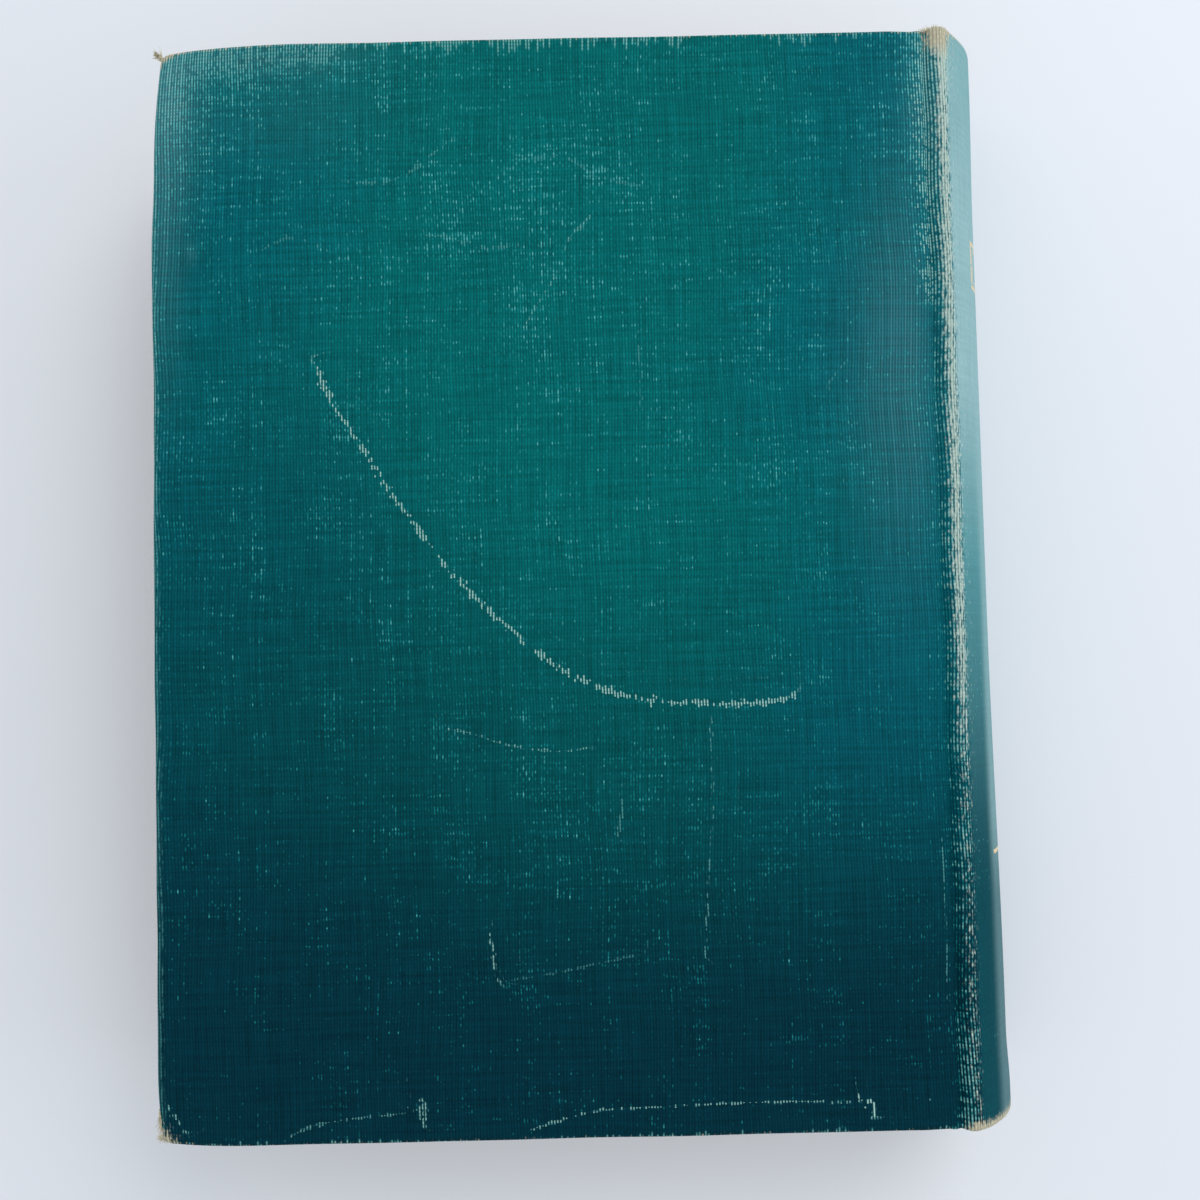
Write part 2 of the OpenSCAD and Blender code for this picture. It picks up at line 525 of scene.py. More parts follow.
sectionS, sectionX, sectionH = caseSection()
halfCase = sectionS[-1]
crownFlat = foreX + halfCase  # the crown's place in the cloth's flat coordinates
ridgeFlat = foreX + np.interp(caseValues["ridgeTop"], sectionX, sectionS)
print("half the case is", round(halfCase, 1), "mm of cloth")

# Knocks that have pushed the corners in: distance pushed, reach along the edge
cornerKnocks = {
    "back": {
        "headIn": 2.4, "headReach": 10.5, "foreIn": 2.2, "foreReach": 16.0, "tailIn": 1.1, "tailReach": 7.0,
    },
    "front": {
        "headIn": 1.2, "headReach": 8.0, "foreIn": 1.0, "foreReach": 9.0, "tailIn": 1.8, "tailReach": 9.0,
    },
}


# How the old case has bent, in millimetres
bendValues = {
    "edgeWave": 0.10,
    "edgeOut": 0.38,  # the cloth's fullness round the edges
    "foreHollows": ((76, 24, 0.45), (2, 36, 0.30)),  # place along the fore edge, reach and depth
    "middleUp": 0.25,
    "foreCurl": 0.30,
    "endCurl": 0.22,
    "faceWave": 0.07,
    "ridgeOut": 0.45,
    "ridgeOutAtHead": 0.22,
    "crownOut": 0.15,
    "crownOutAtTail": 0.95,
    "crownOutAtHead": 0.40,
    "tailCapOut": 0.55,
}


def knocked(x, y, side):
    # Moves points of a cover in the plane as its corners were bumped, and waves its edges a little.
    v, b = cornerKnocks[side], bendValues
    fromFore = np.maximum(x - foreX, 0)
    fromHead = np.maximum(headY - y, 0)
    fromTail = np.maximum(headY + y, 0)
    downHead = v["headIn"] * np.exp(-fromFore / v["headReach"]) * np.exp(-fromHead / 14)
    upTail = v["tailIn"] * np.exp(-fromFore / v["tailReach"]) * np.exp(-fromTail / 12)
    inHead = v["foreIn"] * np.exp(-fromHead / v["foreReach"]) * np.exp(-fromFore / 14)
    inTail = v["tailIn"] * np.exp(-fromTail / v["tailReach"]) * np.exp(-fromFore / 12)
    edge = smooth(40, 0, fromFore)
    bow = sum(deep * bell(y - at, reach) for at, reach, deep in b["foreHollows"])
    rough = b["edgeWave"] * waves(x, y, 26, 11 + sideSign[side])
    movedX = x + inHead + inTail + edge * (rough - bow) - b["edgeOut"] * smooth(6, 0, fromFore)
    movedY = y - downHead + upTail + rough * smooth(60, 0, headY - abs(y))
    return movedX, movedY + b["edgeOut"] * np.sign(y) * smooth(6, 0, headY - abs(y))


def coverWarp(x, y, side):
    # How far a cover's faces stand off flat: a slightly raised middle, edges drawn in, faint waves.
    b = bendValues
    fromFore = x - foreX
    onBoard = 1 - smooth(70, 80, x)
    raised = b["middleUp"] * np.cos(math.pi * np.clip(y / headY, -1, 1) / 2)
    raised = raised * np.sin(math.pi * np.clip(fromFore / 180, 0, 1))
    curled = -b["foreCurl"] * smooth(26, 0, fromFore) - b["endCurl"] * smooth(18, 0, headY - abs(y))
    return onBoard * (raised + curled + b["faceWave"] * waves(x, y, 34, 23 + sideSign[side]))


def spineLean(flatX, y):
    # The old back stands a little further out at the ridge, and has swelled towards the tail.
    b = bendValues
    atRidge = b["ridgeOut"] + b["ridgeOutAtHead"] * smooth(-60, 60, y)
    atCrown = b["crownOut"] + b["crownOutAtTail"] * smooth(-10, -105, y)
    atCrown = atCrown + b["crownOutAtHead"] * smooth(88, 122, y) + b["tailCapOut"] * smooth(-112, -126, y)
    toCrown = smooth(ridgeFlat, crownFlat - 6, flatX)
    return smooth(ridgeFlat - 3.6, ridgeFlat - 0.6, flatX) * (atRidge + (atCrown - atRidge) * toCrown)


# Marks on the back cover: width in millimetres, strength, and the pixels of the photo they run through
scratches = {
    "scratchA": {
        "long scratch": (0.86, 1.15, [(313, 360), (325, 388), (350, 430), (400, 505), (450, 570),
            (500, 620), (550, 662), (600, 688), (650, 700), (700, 703), (760, 703), (797, 693)]),
        "long line near the tail": (0.34, 0.8, [(524, 1131), (575, 1117), (600, 1111), (640, 1108),
            (720, 1104), (800, 1102), (845, 1103), (866, 1100)]),
        "line at the head": (0.5, 0.5, [(345, 182), (380, 183), (402, 176), (420, 165), (440, 148),
            (452, 140)]),
        "short hook": (0.45, 0.85, [(489, 925), (492, 945), (495, 972), (503, 985)]),
    },
    "scratchB": {
        "arc under the scratch": (0.38, 0.7, [(440, 727), (470, 733), (500, 743), (530, 749), (560, 751),
            (590, 748)]),
        "upright dotted line": (0.34, 0.55, [(710, 706), (712, 760), (712, 820), (708, 890), (705, 960)]),
        "slanted dots at the head": (0.4, 0.6, [(597, 205), (585, 222), (567, 242), (556, 275), (540, 300),
            (524, 328)]),
        "low slanted line": (0.34, 0.4, [(506, 981), (560, 972), (600, 963), (646, 953)]),
        "line by the tail corner": (0.36, 0.6, [(283, 1141), (296, 1133), (313, 1126), (345, 1120),
            (380, 1116), (408, 1113)]),
        "threads beside the ridge": (3.8, 0.85, [(925, 36), (926, 70), (927, 110), (929, 150), (931, 200),
            (934, 250), (936, 300)]),
        "fine line beside the joint": (0.3, 0.5, [(943, 840), (945, 880), (947, 930), (949, 1000)]),
        "threads by the head corner": (6.0, 0.62, [(168, 130), (172, 90), (190, 66), (230, 58), (300, 52),
            (345, 48)]),
        "scuff at the fore side": (0.5, 0.4, [(262, 250), (290, 238), (310, 243), (330, 252)]),
    },
    "scratchC": {
        "hooked nick": (0.5, 0.8, [(413, 1110), (423, 1099), (424, 1126)]),
        "torn nick": (0.85, 2.4, [(864, 1103), (873, 1101), (875, 1114)]),
        "row near the head": (0.6, 0.45, [(513, 159), (540, 159), (562, 157), (600, 177), (640, 186)]),
        "upright dots": (0.4, 0.4, [(637, 335), (640, 370), (641, 405)]),
        "scuff row": (0.8, 0.5, [(425, 235), (450, 238), (480, 248), (528, 243)]),
        "tick at the joint side": (0.5, 0.9, [(931, 1098), (932, 1102), (934, 1098)]),
        "low dots": (0.5, 0.5, [(620, 790), (622, 812), (617, 840)]),
        "crease by the tail corner": (0.5, 0.75, [(163, 1100), (168, 1112), (176, 1124), (184, 1136)]),
        "faint line at the joint side": (0.35, 0.4, [(858, 352), (840, 368), (828, 385)]),
    },
}
# Rubbed patches, placed by pixels: across and down in millimetres, and how much they add. The second list is
# rubbed cloth together with a painted sheen along the fore edge and the joint side of the board
scuffPatches = {
    "wear": [
        ((195, 105), 15, 20, 0.48), ((170, 200), 7, 40, 0.22),
        ((300, 66), 42, 9, 0.34), ((430, 235), 10, 8, 0.20),
        ((560, 165), 16, 8, 0.24), ((520, 230), 45, 22, 0.14),
        ((430, 170), 20, 8, 0.16), ((530, 285), 12, 7, 0.18),
        ((640, 370), 20, 22, 0.10), ((300, 480), 22, 30, 0.05),
        ((620, 820), 30, 22, 0.14), ((560, 800), 30, 12, 0.08),
        ((800, 230), 20, 20, 0.06), ((440, 720), 14, 10, 0.12), ((700, 880), 22, 20, 0.10),
    ],
    # rubbed cloth and painted sheen
    "rubAndSheen": [
        ((163, 90), 7, 24, 0.74), ((163, 220), 4.5, 34, 0.28), ((192, 252), 1.1, 2.2, 0.30),
        ((240, 56), 26, 5, 0.34), ((906, 330), 6.5, 42, 0.24),
        ((890, 430), 11, 34, 0.13), ((880, 320), 10, 26, 0.10),
        ((929, 100), 5, 17, 0.42), ((270, 110), 24, 12, 0.08),
    ],
}


def smoothLine(points, count=160):
    # A Catmull-Rom curve through points, sampled at count even steps of its parameter.
    p = np.asarray(points, float)
    p = np.vstack([2 * p[0] - p[1], p, 2 * p[-1] - p[-2]])
    at = np.linspace(0, len(p) - 3 - 1e-9, count)
    i = at.astype(int)
    t = (at - i)[:, None]
    a, b, c, d = p[i], p[i + 1], p[i + 2], p[i + 3]
    return 0.5 * (2 * b + (c - a) * t + (2 * a - 5 * b + 4 * c - d) * t**2 + (3 * b - a - 3 * c + d) * t**3)


def strokeField(flat, strokes):
    # For each point: signed distance across the nearest stroke over half its width, distance along it,
    # and its strength, which fades past the stroke's ends and 6 mm to its sides.
    field = np.zeros((len(flat), 3))
    field[:, 0] = 9
    for wide, most, pixels in strokes.values():
        line = smoothLine([onCover(p) for p in pixels])
        for end, other in ((0, 3), (-1, -4)):
            away = line[end] - line[other]
            tail = line[end] + away / np.linalg.norm(away) * np.linspace(1, 12, 12)[:, None]
            line = np.vstack([tail[::-1], line]) if end == 0 else np.vstack([line, tail])
        walked = np.concatenate([[0], np.cumsum(np.linalg.norm(np.diff(line, axis=0), axis=1))]) - 12
        low, high = line.min(0) - 7, line.max(0) + 7
        near = np.where(((flat[:, :2] > low) & (flat[:, :2] < high)).all(1))[0]
        gap = flat[near, None, :2] - line[None]
        best = np.argmin((gap**2).sum(-1), 1)
        tangent = np.gradient(line, axis=0)
        tangent /= np.linalg.norm(tangent, axis=1)[:, None]
        step = gap[np.arange(len(near)), best]
        across = step[:, 0] * tangent[best, 1] - step[:, 1] * tangent[best, 0]
        along = walked[best] + (step * tangent[best]).sum(1)
        length = walked[-1] - 12
        strength = most * np.clip((6 - np.linalg.norm(step, axis=1)) / 3, 0, 1)
        strength = strength * np.clip(along / 1.2 + 1, 0, 1) * np.clip((length - along) / 1.2 + 1, 0, 1)
        take = strength > field[near, 2]
        field[near[take]] = np.stack([across / (wide / 2), along, strength], 1)[take]
    return field


def patchField(flat, patches):
    # A sum of soft spots, each a bell curve across and down.
    total = np.zeros(len(flat))
    for pixel, wide, tall, amount in patches:
        x, y = onCover(pixel)
        total += amount * bell(flat[:, 0] - x, wide) * bell(flat[:, 1] - y, tall)
    return total


def rounded(x, y, lowX, halfY, radius):
    # Draws the two square corners at lowX to round ones: in a corner, a and b run from 0 to 1 outwards and
    # become a sqrt(1 - b b / 2) and b sqrt(1 - a a / 2). Returns x, y, which points moved, and the two.
    a = np.clip(1 - (x - lowX) / radius, 0, 1)
    b = np.clip((abs(y) - (halfY - radius)) / radius, 0, 1)
    moved = (a > 0) & (b > 0)
    roundA = a * np.sqrt(1 - b * b / 2)
    roundB = b * np.sqrt(1 - a * a / 2)
    newX = np.where(moved, lowX + radius * (1 - roundA), x)
    newY = np.where(moved, np.sign(y) * (halfY - radius + radius * roundB), y)
    return newX, newY, moved, roundA, roundB


def caseSkin():
    # One half of the case cloth's outer face. A grid over the cover, joint and half the spine is carried
    # on round the head, fore edge and tail, as the cloth is turned in. Returns points, quads and fields.
    v = caseValues
    rowEdge = v["edgeRound"]
    s = steps(rowEdge, (rowEdge + 3, 0.5), (9, 1.0), (174.5, 2.0), (180, 0.9), (193, 0.33), (halfCase, 0.9))
    rows = steps(0, (4, 0.55), (12, 1.0), (headY, 2.0))
    rows = np.concatenate([-(headY - rows[:-1]), [0], (headY - rows[:-1])[::-1]]) / headY
    x = np.interp(s, sectionS, sectionX)
    h = np.interp(s, sectionS, sectionH)
    tangent = np.stack([np.interp(s, sectionS, np.gradient(a, sectionS)) for a in (sectionX, sectionH)], 1)
    tangent /= np.linalg.norm(tangent, axis=1)[:, None]
    toSpine = smooth(86.3, 89.5, x)
    down = np.stack([toSpine * tangent[:, 1], toSpine - 1 - toSpine * tangent[:, 0]], 1)
    down /= np.linalg.norm(down, axis=1)[:, None]
    pastBoard = smooth(v["boardEdge"] - 0.2, v["boardEdge"] + 1.2, x)
    overJoint = v["foldJoint"] + toSpine * (v["foldSpine"] - v["foldJoint"])
    fold = (h - turnedIn) * (1 - pastBoard) + pastBoard * overJoint
    bend = np.minimum(v["edgeRound"], fold * 0.48)

    # the grid of the outer face, its fore corners drawn from square to round
    gridX, gridV = np.meshgrid(s, rows, indexing="ij")
    inset = bend[:, None]
    y = gridV * (headY - inset)
    c = v["cornerRound"] - rowEdge
    flatX, y, inCorner, roundA, roundB = rounded(gridX, y, rowEdge, headY - inset, c)
    count = len(rows)
    faceX, faceH = (np.interp(flatX, sectionS, a) for a in (sectionX, sectionH))
    face = np.stack([faceX, y, faceH], -1).reshape(-1, 3)
    flat = np.stack([foreX + flatX, y, 0 * y], -1).reshape(-1, 3)
    quads = gridFaces(len(s), count)[:, ::-1]

    # the outline, from the crown at the head round the fore edge to the crown at the tail
    index = np.arange(len(s) * count).reshape(len(s), count)
    outline = np.concatenate([index[::-1, -1], index[0, -2:0:-1], index[:, 0]])
    col = outline // count
    outA, outB = roundA.ravel()[outline], roundB.ravel()[outline] * np.sign(flat[outline, 1])
    corner = inCorner.ravel()[outline]
    onFore = (col == 0) & ~corner
    away = np.stack([np.where(onFore, -1.0, 0.0), np.where(onFore, 0.0, np.sign(flat[outline, 1]))], 1)
    away[corner] = np.stack([-outA, outB], 1)[corner]
    away /= np.linalg.norm(away, axis=1)[:, None]
    reach = np.where(onFore, headY - bend[0] - abs(flat[outline, 1]), s[col] - rowEdge)
    reach = np.minimum(v["turnIn"] - bend[col], np.maximum(reach, 0.9 * c))
    turn = np.linspace(0, math.pi / 2, 5)[1:]
    bent, wall = bend[col], fold[col] - 2 * bend[col]
    ring = [(bent * math.sin(t), bent * (1 - math.cos(t)), bent * t) for t in turn]
    ring += [(bent, bent + wall * t, bent * math.pi / 2 + wall * t) for t in (0.34, 0.67, 1.0)]
    for t in turn:
        ring.append((bent * math.cos(t), bent + wall + bent * math.sin(t), bent * (math.pi / 2 + t) + wall))
    for t in (0.08, 0.25, 0.5, 0.75, 1.0):
        ring.append((-reach * t, fold[col], bent * math.pi + wall + reach * t))
    points, flats, faces = [face], [flat], [quads]
    last = outline
    total = len(face)
    for outwards, inwards, walked in ring:
        p = face[outline].copy()
        p[:, 0] += away[:, 0] * outwards + down[col, 0] * inwards
        p[:, 1] += away[:, 1] * outwards
        p[:, 2] += down[col, 1] * inwards
        f = flat[outline].copy()
        f[:, :2] += away * walked[:, None]
        now = total + np.arange(len(outline))
        faces.append(np.stack([last[:-1], now[:-1], now[1:], last[1:]], 1))
        points.append(p)
        flats.append(f)
        last = now
        total += len(outline)
    return np.concatenate(points), np.concatenate(flats), np.concatenate(faces)


def placeCase(points, flat, side):
    # Bumps, warp and lean, and then the half's place in the book.
    onCoverShare = 1 - smooth(80, 84, points[:, 0])
    x, y = knocked(points[:, 0], points[:, 1], side)
    x = points[:, 0] + (x - points[:, 0]) * onCoverShare
    depth = np.clip((points[:, 2] - turnedIn) / (outer - turnedIn), 0, 1)
    h = points[:, 2] + depth * coverWarp(points[:, 0], points[:, 1], side)
    x = x + spineLean(flat[:, 0], points[:, 1])
    capped = bell(flat[:, 0] - ridgeFlat, 4.5)
    y = y + capped * (0.75 * smooth(headY - 5, headY, y) - 0.35 * smooth(5 - headY, -headY, y))
    y = y - 0.55 * smooth(ridgeFlat, ridgeFlat + 6, flat[:, 0]) * smooth(12 - headY, -headY, y)
    return np.stack([x, y, middle + sideSign[side] * h], 1)


# How much frayed cloth and worn threads there are. Pairs are the amount at the tail and what the head adds.
wearValues = {
    # on the ridge, beside it, at its corner and in the joint: millimetres from the ridge, and width
    "bands": ((-0.4, 1.55), (-2.6, 2.6), (-1.4, 3.2), (-5.8, 4.0)),
    "ridgeFray": (0.29, 0.43),
    "specks": (0.10, 0.24),
    "specksAtHead": 0.34,
    "cornerFray": 0.85,
    "hemFray": (0.24, 0.10),  # the mean, and how much more at the head and less at the tail
    "capFray": 0.40,
    "tailCapFray": 0.70,
    "headHemFray": 0.55,
    "foreCornerFray": 1.25,
    "foreEdgeFray": 0.42,
    "ridgeWorn": (0.54, -0.06),
    "cornerWorn": 0.35,
    "jointWorn": 0.50,
    "tailWorn": 0.45,
    "spared": 0.07,  # taken off all of the worn threads, and more towards the tail and the fore edge
    "sparedTail": 0.20,
    "sparedTailEnd": 0.16,
    "sparedFore": 0.05,
    "frontWorn": 0.8,  # the front cover's share of the back cover's patches
    "frontRubAndSheen": 0.5,
}


def clothFields(flat, side):
    # Fields that the cloth's material reads; the front half goes on from the crown in flat coordinates.
    v = wearValues
    shown = side == "back"
    folded, y = flat[:, 0], flat[:, 1]
    fields = {}
    for key, strokes in scratches.items():
        fields[key] = strokeField(flat, strokes) if shown else np.zeros((len(flat), 3))
    mirrored = flat * [1, 1 if shown else -1, 1]
    wear = patchField(mirrored, scuffPatches["wear"]) * (1 if shown else v["frontWorn"])
    wear -= v["spared"] + v["sparedTail"] * smooth(40, -60, y) + v["sparedTailEnd"] * smooth(-50, -115, y)
    wear -= v["sparedFore"] * smooth(-40, -95, folded)
    fields["rubAndSheen"] = patchField(mirrored, scuffPatches["rubAndSheen"]) * (1 if shown else v["frontRubAndSheen"])

    # round the ridge and on the spine
    fromRidge = folded - ridgeFlat
    pastRidge = np.maximum(fromRidge, 0)
    upper = smooth(-62, -10, y)
    ridge, beside, corner, joint = (bell(fromRidge - at, wide) for at, wide in v["bands"])
    corner = corner * smooth(headY - 8, headY - 1, y)
    joint = joint * (smooth(72, 112, y) + 0.3 * smooth(-20, 60, y))
    pairs = (v[key] for key in ("ridgeFray", "specks", "ridgeWorn"))
    ridgeFray, specks, ridgeWorn = (atTail + atHead * upper for atTail, atHead in pairs)
    specks = np.exp(-pastRidge / 3.4) * specks
    specks = specks + v["specksAtHead"] * np.exp(-pastRidge / 5) * smooth(102, 122, y)
    fray = ridge * ridgeFray + specks * smooth(ridgeFlat - 1, ridgeFlat + 1, folded)

    # along the edges, and the walls of the boards past them
    onSpine = smooth(ridgeFlat - 4, ridgeFlat, folded)
    fromFore = np.maximum(folded - foreX, 0)
    both, more = v["hemFray"]
    hems = smooth(headY - 1.4, headY - 0.2, abs(y)) * (both + more * np.sign(y) + v["capFray"] * onSpine)
    hems += smooth(2.8 - headY, 1.1 - headY, y) * onSpine * v["tailCapFray"]
    hems += v["headHemFray"] * smooth(headY - 1.2, headY, y) * np.exp(-fromFore / 16)
    foreCorner = v["foreCornerFray"] * bell(np.hypot(fromFore, np.maximum(headY - abs(y), 0)), 3.0)
    foreEdge = v["foreEdgeFray"] * smooth(foreX + 1.0, foreX - 0.6, folded) * smooth(-20, 60, y)
    onWall = smooth(0.3, 2.4, np.maximum(abs(y) - headY, foreX - folded))
    fray = fray + corner * v["cornerFray"] + hems + foreCorner + foreEdge
    fields["fray"] = np.clip(fray, 0, 1.3) * (1 - 0.9 * onWall)
    wear += (ridge + beside) * ridgeWorn + v["cornerWorn"] * corner + v["jointWorn"] * joint
    fields["wear"] = wear + beside * v["tailWorn"] * smooth(-96, -124, y) - 0.22 * onWall
    return fields


# Book cloth: pitches of its threads in millimetres, colours and finish
clothValues = {
    "warpPitch": 0.70,
    "weftPitch": 0.85,
    # the cover's tones are its teal with painted shade darkening it towards the tail; the spine's are sun
    # fading with a painted sheen on its upper half and painted shade at the tail
    "headTone": (0.0004, 0.119, 0.119),
    "sideTone": (0.0006, 0.104, 0.132),
    "tailShadeTone": (0.0002, 0.027, 0.042),
    "spineHead": (0.255, 0.425, 0.450),
    "spineMiddle": (0.078, 0.255, 0.282),
    "spineTail": (0.001, 0.056, 0.073),
    "spineCap": (0.14, 0.33, 0.35),
    "pale": (0.38, 0.60, 0.53),  # scratches
    "worn": (0.11, 0.46, 0.455),  # bright dashes
    "faint": (0.010, 0.25, 0.26),
    # rubbed haze, partly a painted sheen
    "rubSheenTint": (0.16, 0.34, 0.38),
    "cotton": (0.50, 0.60, 0.53),  # frayed cloth
    "cottonDeep": (0.27, 0.41, 0.38),
    "beige": (0.58, 0.52, 0.37),  # frayed cloth at head and tail
    "beigeDeep": (0.31, 0.285, 0.195),
    "gilt": (0.78, 0.60, 0.33),
    "roughness": 0.66,
    "wornRougher": 0.25,
    "giltSmoother": 0.3,
    "giltMetal": 0.4,
    "relief": 0.14,
}
# Gilt lines on the spine: places along it, and half widths round it from the crown. A line's own half
# width is where it ends and where it is whole.
giltValues = {
    "frameY": 75.2, "frameHalf": 5.5, "frameSide": 16.7, "ruleY": -68.0, "ruleHalf": 0.5, "ruleSide": 16.6,
    "line": (0.52, 0.40), "thinLine": (0.26, 0.16), "thinInside": 1.5,
}


def clothMaterial():
    # Dyed book cloth: tone with painted light and shade, streaks of single threads with painted shade
    # between them, rubbed haze with a painted sheen, worn tops, scratches, frayed ridges, gilt lines.
    v, g = clothValues, giltValues
    material, tree, shader = newMaterial("bookCloth", specular=0.03, **{
        "Sheen Weight": 0.01, "Sheen Roughness": 0.35, "Sheen Tint": (0.4, 0.9, 0.92, 1)})
    flat = attribute(tree, "flat")
    x, y, _ = split(flat)
    fromCrown = abs(x - crownFlat)
    folded = crownFlat - fromCrown
    pitches = {"WarpPitch": v["warpPitch"], "WeftPitch": v["weftPitch"]}
    weave = useGroup(weaveGroup, Flat=flat, Wander=1.6, **pitches)
    crumble = flatNoise(stretched(flat, (1.5, 0.42, 0)), 1.0, 2.0, 0.75)

    # tone over the whole cover: painted light and shade, bright at the head and dark towards the tail,
    # sooner on the fore side; and bluer to both sides
    cloudy = (flatNoise(flat, 0.014, 0.0) - 0.5) * 60.0
    brightAt = ramp(folded, -95.0, 15.0, 120.0, 26.0)
    tone = ramp(y + cloudy * 0.5, -122.0, brightAt)
    aside = abs(folded + 12.0 + cloudy)
    colour = mixColour(ramp(aside, 22.0, 100.0), v["headTone"], v["sideTone"])
    colour = mixColour(tone, v["tailShadeTone"], colour)
    # the spine: partly sun fading, partly a painted sheen on its upper half and painted shade at the tail;
    # paler round the crown and a little deeper at the head cap
    spineFadeAndSheen = mixColour(ramp(y, -80.0, 15.0), v["spineTail"], v["spineMiddle"])
    spineFadeAndSheen = mixColour(ramp(y, -6.0, 52.0), spineFadeAndSheen, v["spineHead"])
    crown = ramp(fromCrown, 21.0, 15.5, 0.0, 0.66) * ramp(y, -80.0, -56.0, 0.5, 1.0)
    spineFadeAndSheen = mixColour(crown, spineFadeAndSheen, v["spineHead"])
    spineFadeAndSheen = mixColour(ramp(y, 84.0, 128.0, 0.0, 0.5), spineFadeAndSheen, v["spineCap"])
    ragged = (crumble - 0.5) * 5.0
    onSpine = ramp(folded + ragged, ridgeFlat, ridgeFlat + 1.8)
    colour = mixColour(onSpine, colour, spineFadeAndSheen)

    # single threads lighter or darker, and painted shade where the weave lies low between threads
    warpStreak = flatNoise(stretched(flat, (1.43, 0.07, 0)), 1.0, 0.0)
    weftStreak = flatNoise(stretched(flat, (0.06, 1.18, 0), (0, 50.0, 0)), 1.0, 0.0)
    streak = warpStreak * 0.44 + weftStreak * 0.42 + weave["Warp"] * 0.08 + weave["Cell"] * 0.12
    relief = ramp(folded, ridgeFlat, ridgeFlat + 1.8, 1.0, 0.3)
    shade = (weave["Height"] - 0.45) * (relief * 0.40) + (streak - 0.53) * (relief * 0.85)
    colour = shaded(colour, shade + 1.0)

    # rubbed haze, partly a painted sheen near the fore edge and the joint, worn tops and bright dashes
    wear, fray, rubAndSheen = (attribute(tree, key, "Fac") for key in ("wear", "fray", "rubAndSheen"))
    ribbed = weave["Thread"] * (weave["Warp"] + 0.25)
    rubSheenHaze = calc("MULTIPLY", rubAndSheen, ribbed * 0.75 + 0.22, clamp=True)
    colour = mixColour(rubSheenHaze, colour, v["rubSheenTint"])
    threads = {key: weave[key] for key in ("Thread", "Column", "Warp")}
    scuffs = useGroup(scuffGroup, Flat=flat, Amount=wear, **threads)
    colour = mixColour(scuffs["Faint"] * (0.70 - onSpine * 0.45), colour, v["faint"])
    nearRidge = ramp(folded, ridgeFlat - 7.0, ridgeFlat - 2.0, 0.0, 0.35)
    bright = mixColour(nearRidge, v["worn"], v["pale"])
    colour = mixColour(scuffs["Strong"] * 0.88, colour, bright)

    # ticks where single threads are worn from the edges inwards
    patch = flatNoise(stretched(flat, (0.05, 0.05, 0), (7.0, 3.0, 0)), 1.0, 0.0)
    tick = weave["Warp"] ** 1.7 * ramp(patch, 0.35, 0.65, 1.0, 3.6)
    fromHead, fromTail, fromFore = headY - y, headY + y, folded - foreX
    rubbedTick = rubAndSheen * 9.0 * weave["Warp"]
    headTicks = ramp(fromHead - (tick + rubbedTick), 0.3, -0.6)
    tailTicks = ramp(fromTail - tick * 0.42, 0.1, -0.5)
    foreTicks = ramp(fromFore - crumble * 3.4, 0.0, -1.2) * ramp(y, -130.0, 90.0, 0.55, 1.0)
    onTop = ramp(smaller(fromHead, fromTail, fromFore), -1.3, -0.3)
    ticks = larger(headTicks, tailTicks, foreTicks) * (weave["Thread"] * 0.85 + 0.15) * onTop
    marks = ticks * 0.68
    ragged = flatNoise(join(weave["Column"] * 13.3, y * 0.75, 9.0), 1.0, 0.0)
    for key in scratches:
        field = attribute(tree, key)
        stroke = useGroup(strokeGroup, Field=field, Ragged=ragged, Thread=weave["Thread"])
        marks = larger(marks, stroke["Mask"])
    whitish = mixColour(ramp(marks, 0.35, 0.85), v["worn"], v["pale"])
    colour = mixColour(calc("MULTIPLY", marks, 0.95, clamp=True), colour, whitish)

    # bare cotton where the cloth is frayed, with painted shade where its weave lies low
    gaps = weave["Height"] * 0.55 + weave["Cell"] * 0.25
    bare = (crumble - 0.5) * 2.0 + (gaps - 0.45) * 0.9 + fray * 1.2
    bare = ramp(bare, 0.32, 1.10) * ramp(fray, 0.02, 0.14)
    hem = ramp(abs(y), headY - 8, headY - 2)
    cotton = mixColour(weave["Height"], v["cottonDeep"], v["cotton"])
    beige = mixColour(weave["Height"], v["beigeDeep"], v["beige"])
    cotton = mixColour(hem * 0.9, cotton, beige)
    colour = mixColour(bare, colour, cotton)

    # gilt: an empty frame and a short rule on the spine
    edge = larger(fromCrown - g["frameSide"], abs(y - g["frameY"]) - g["frameHalf"])
    line = ramp(abs(edge), *g["line"])
    thin = ramp(abs(edge + g["thinInside"]), *g["thinLine"])
    rule = larger(fromCrown - g["ruleSide"], abs(y - g["ruleY"]) - g["ruleHalf"])
    rubbed = ramp(flatNoise(flat, 0.9, 1.0), 0.26, 0.44)
    gilt = larger(line, thin, ramp(rule, 0.08, -0.05)) * rubbed
    colour = mixColour(gilt, colour, v["gilt"])
    feed(shader.inputs["Metallic"], gilt * v["giltMetal"])
    rough = v["roughness"] + larger(bare, marks) * v["wornRougher"]
    feed(shader.inputs["Roughness"], rough - gilt * v["giltSmoother"])
    dress(shader, colour, weave["Height"] * relief + crumble * (fray * 0.8), v["relief"])
    return material


bookCloth = clothMaterial()


def makeCase(side):
    # Half of the case's cloth: the skin with its fields, put in its place and thickened inwards.
    points, flat, faces = caseSkin()
    fields = clothFields(flat, side)
    placed = placeCase(points, flat, side)
    if side == "front":
        flat = flat * [-1, 1, 1] + [2 * crownFlat, 0, 0]
    fields["flat"] = flat
    faces = faces[:, ::-1] if side == "front" else faces
    placed, faces, fields = thickened(placed, faces, caseValues["clothThick"], 1, fields)
    piece = makePiece(f"{side}_case_cloth", placed, faces, bookCloth, fields, sharpAngle=50)
    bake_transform(piece)
    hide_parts(f"{side}_cloth", "spine_cloth")
    return piece


for side in sideSign:
    made = makeCase(side)
    print(made.name, len(made.data.polygons), "quads")


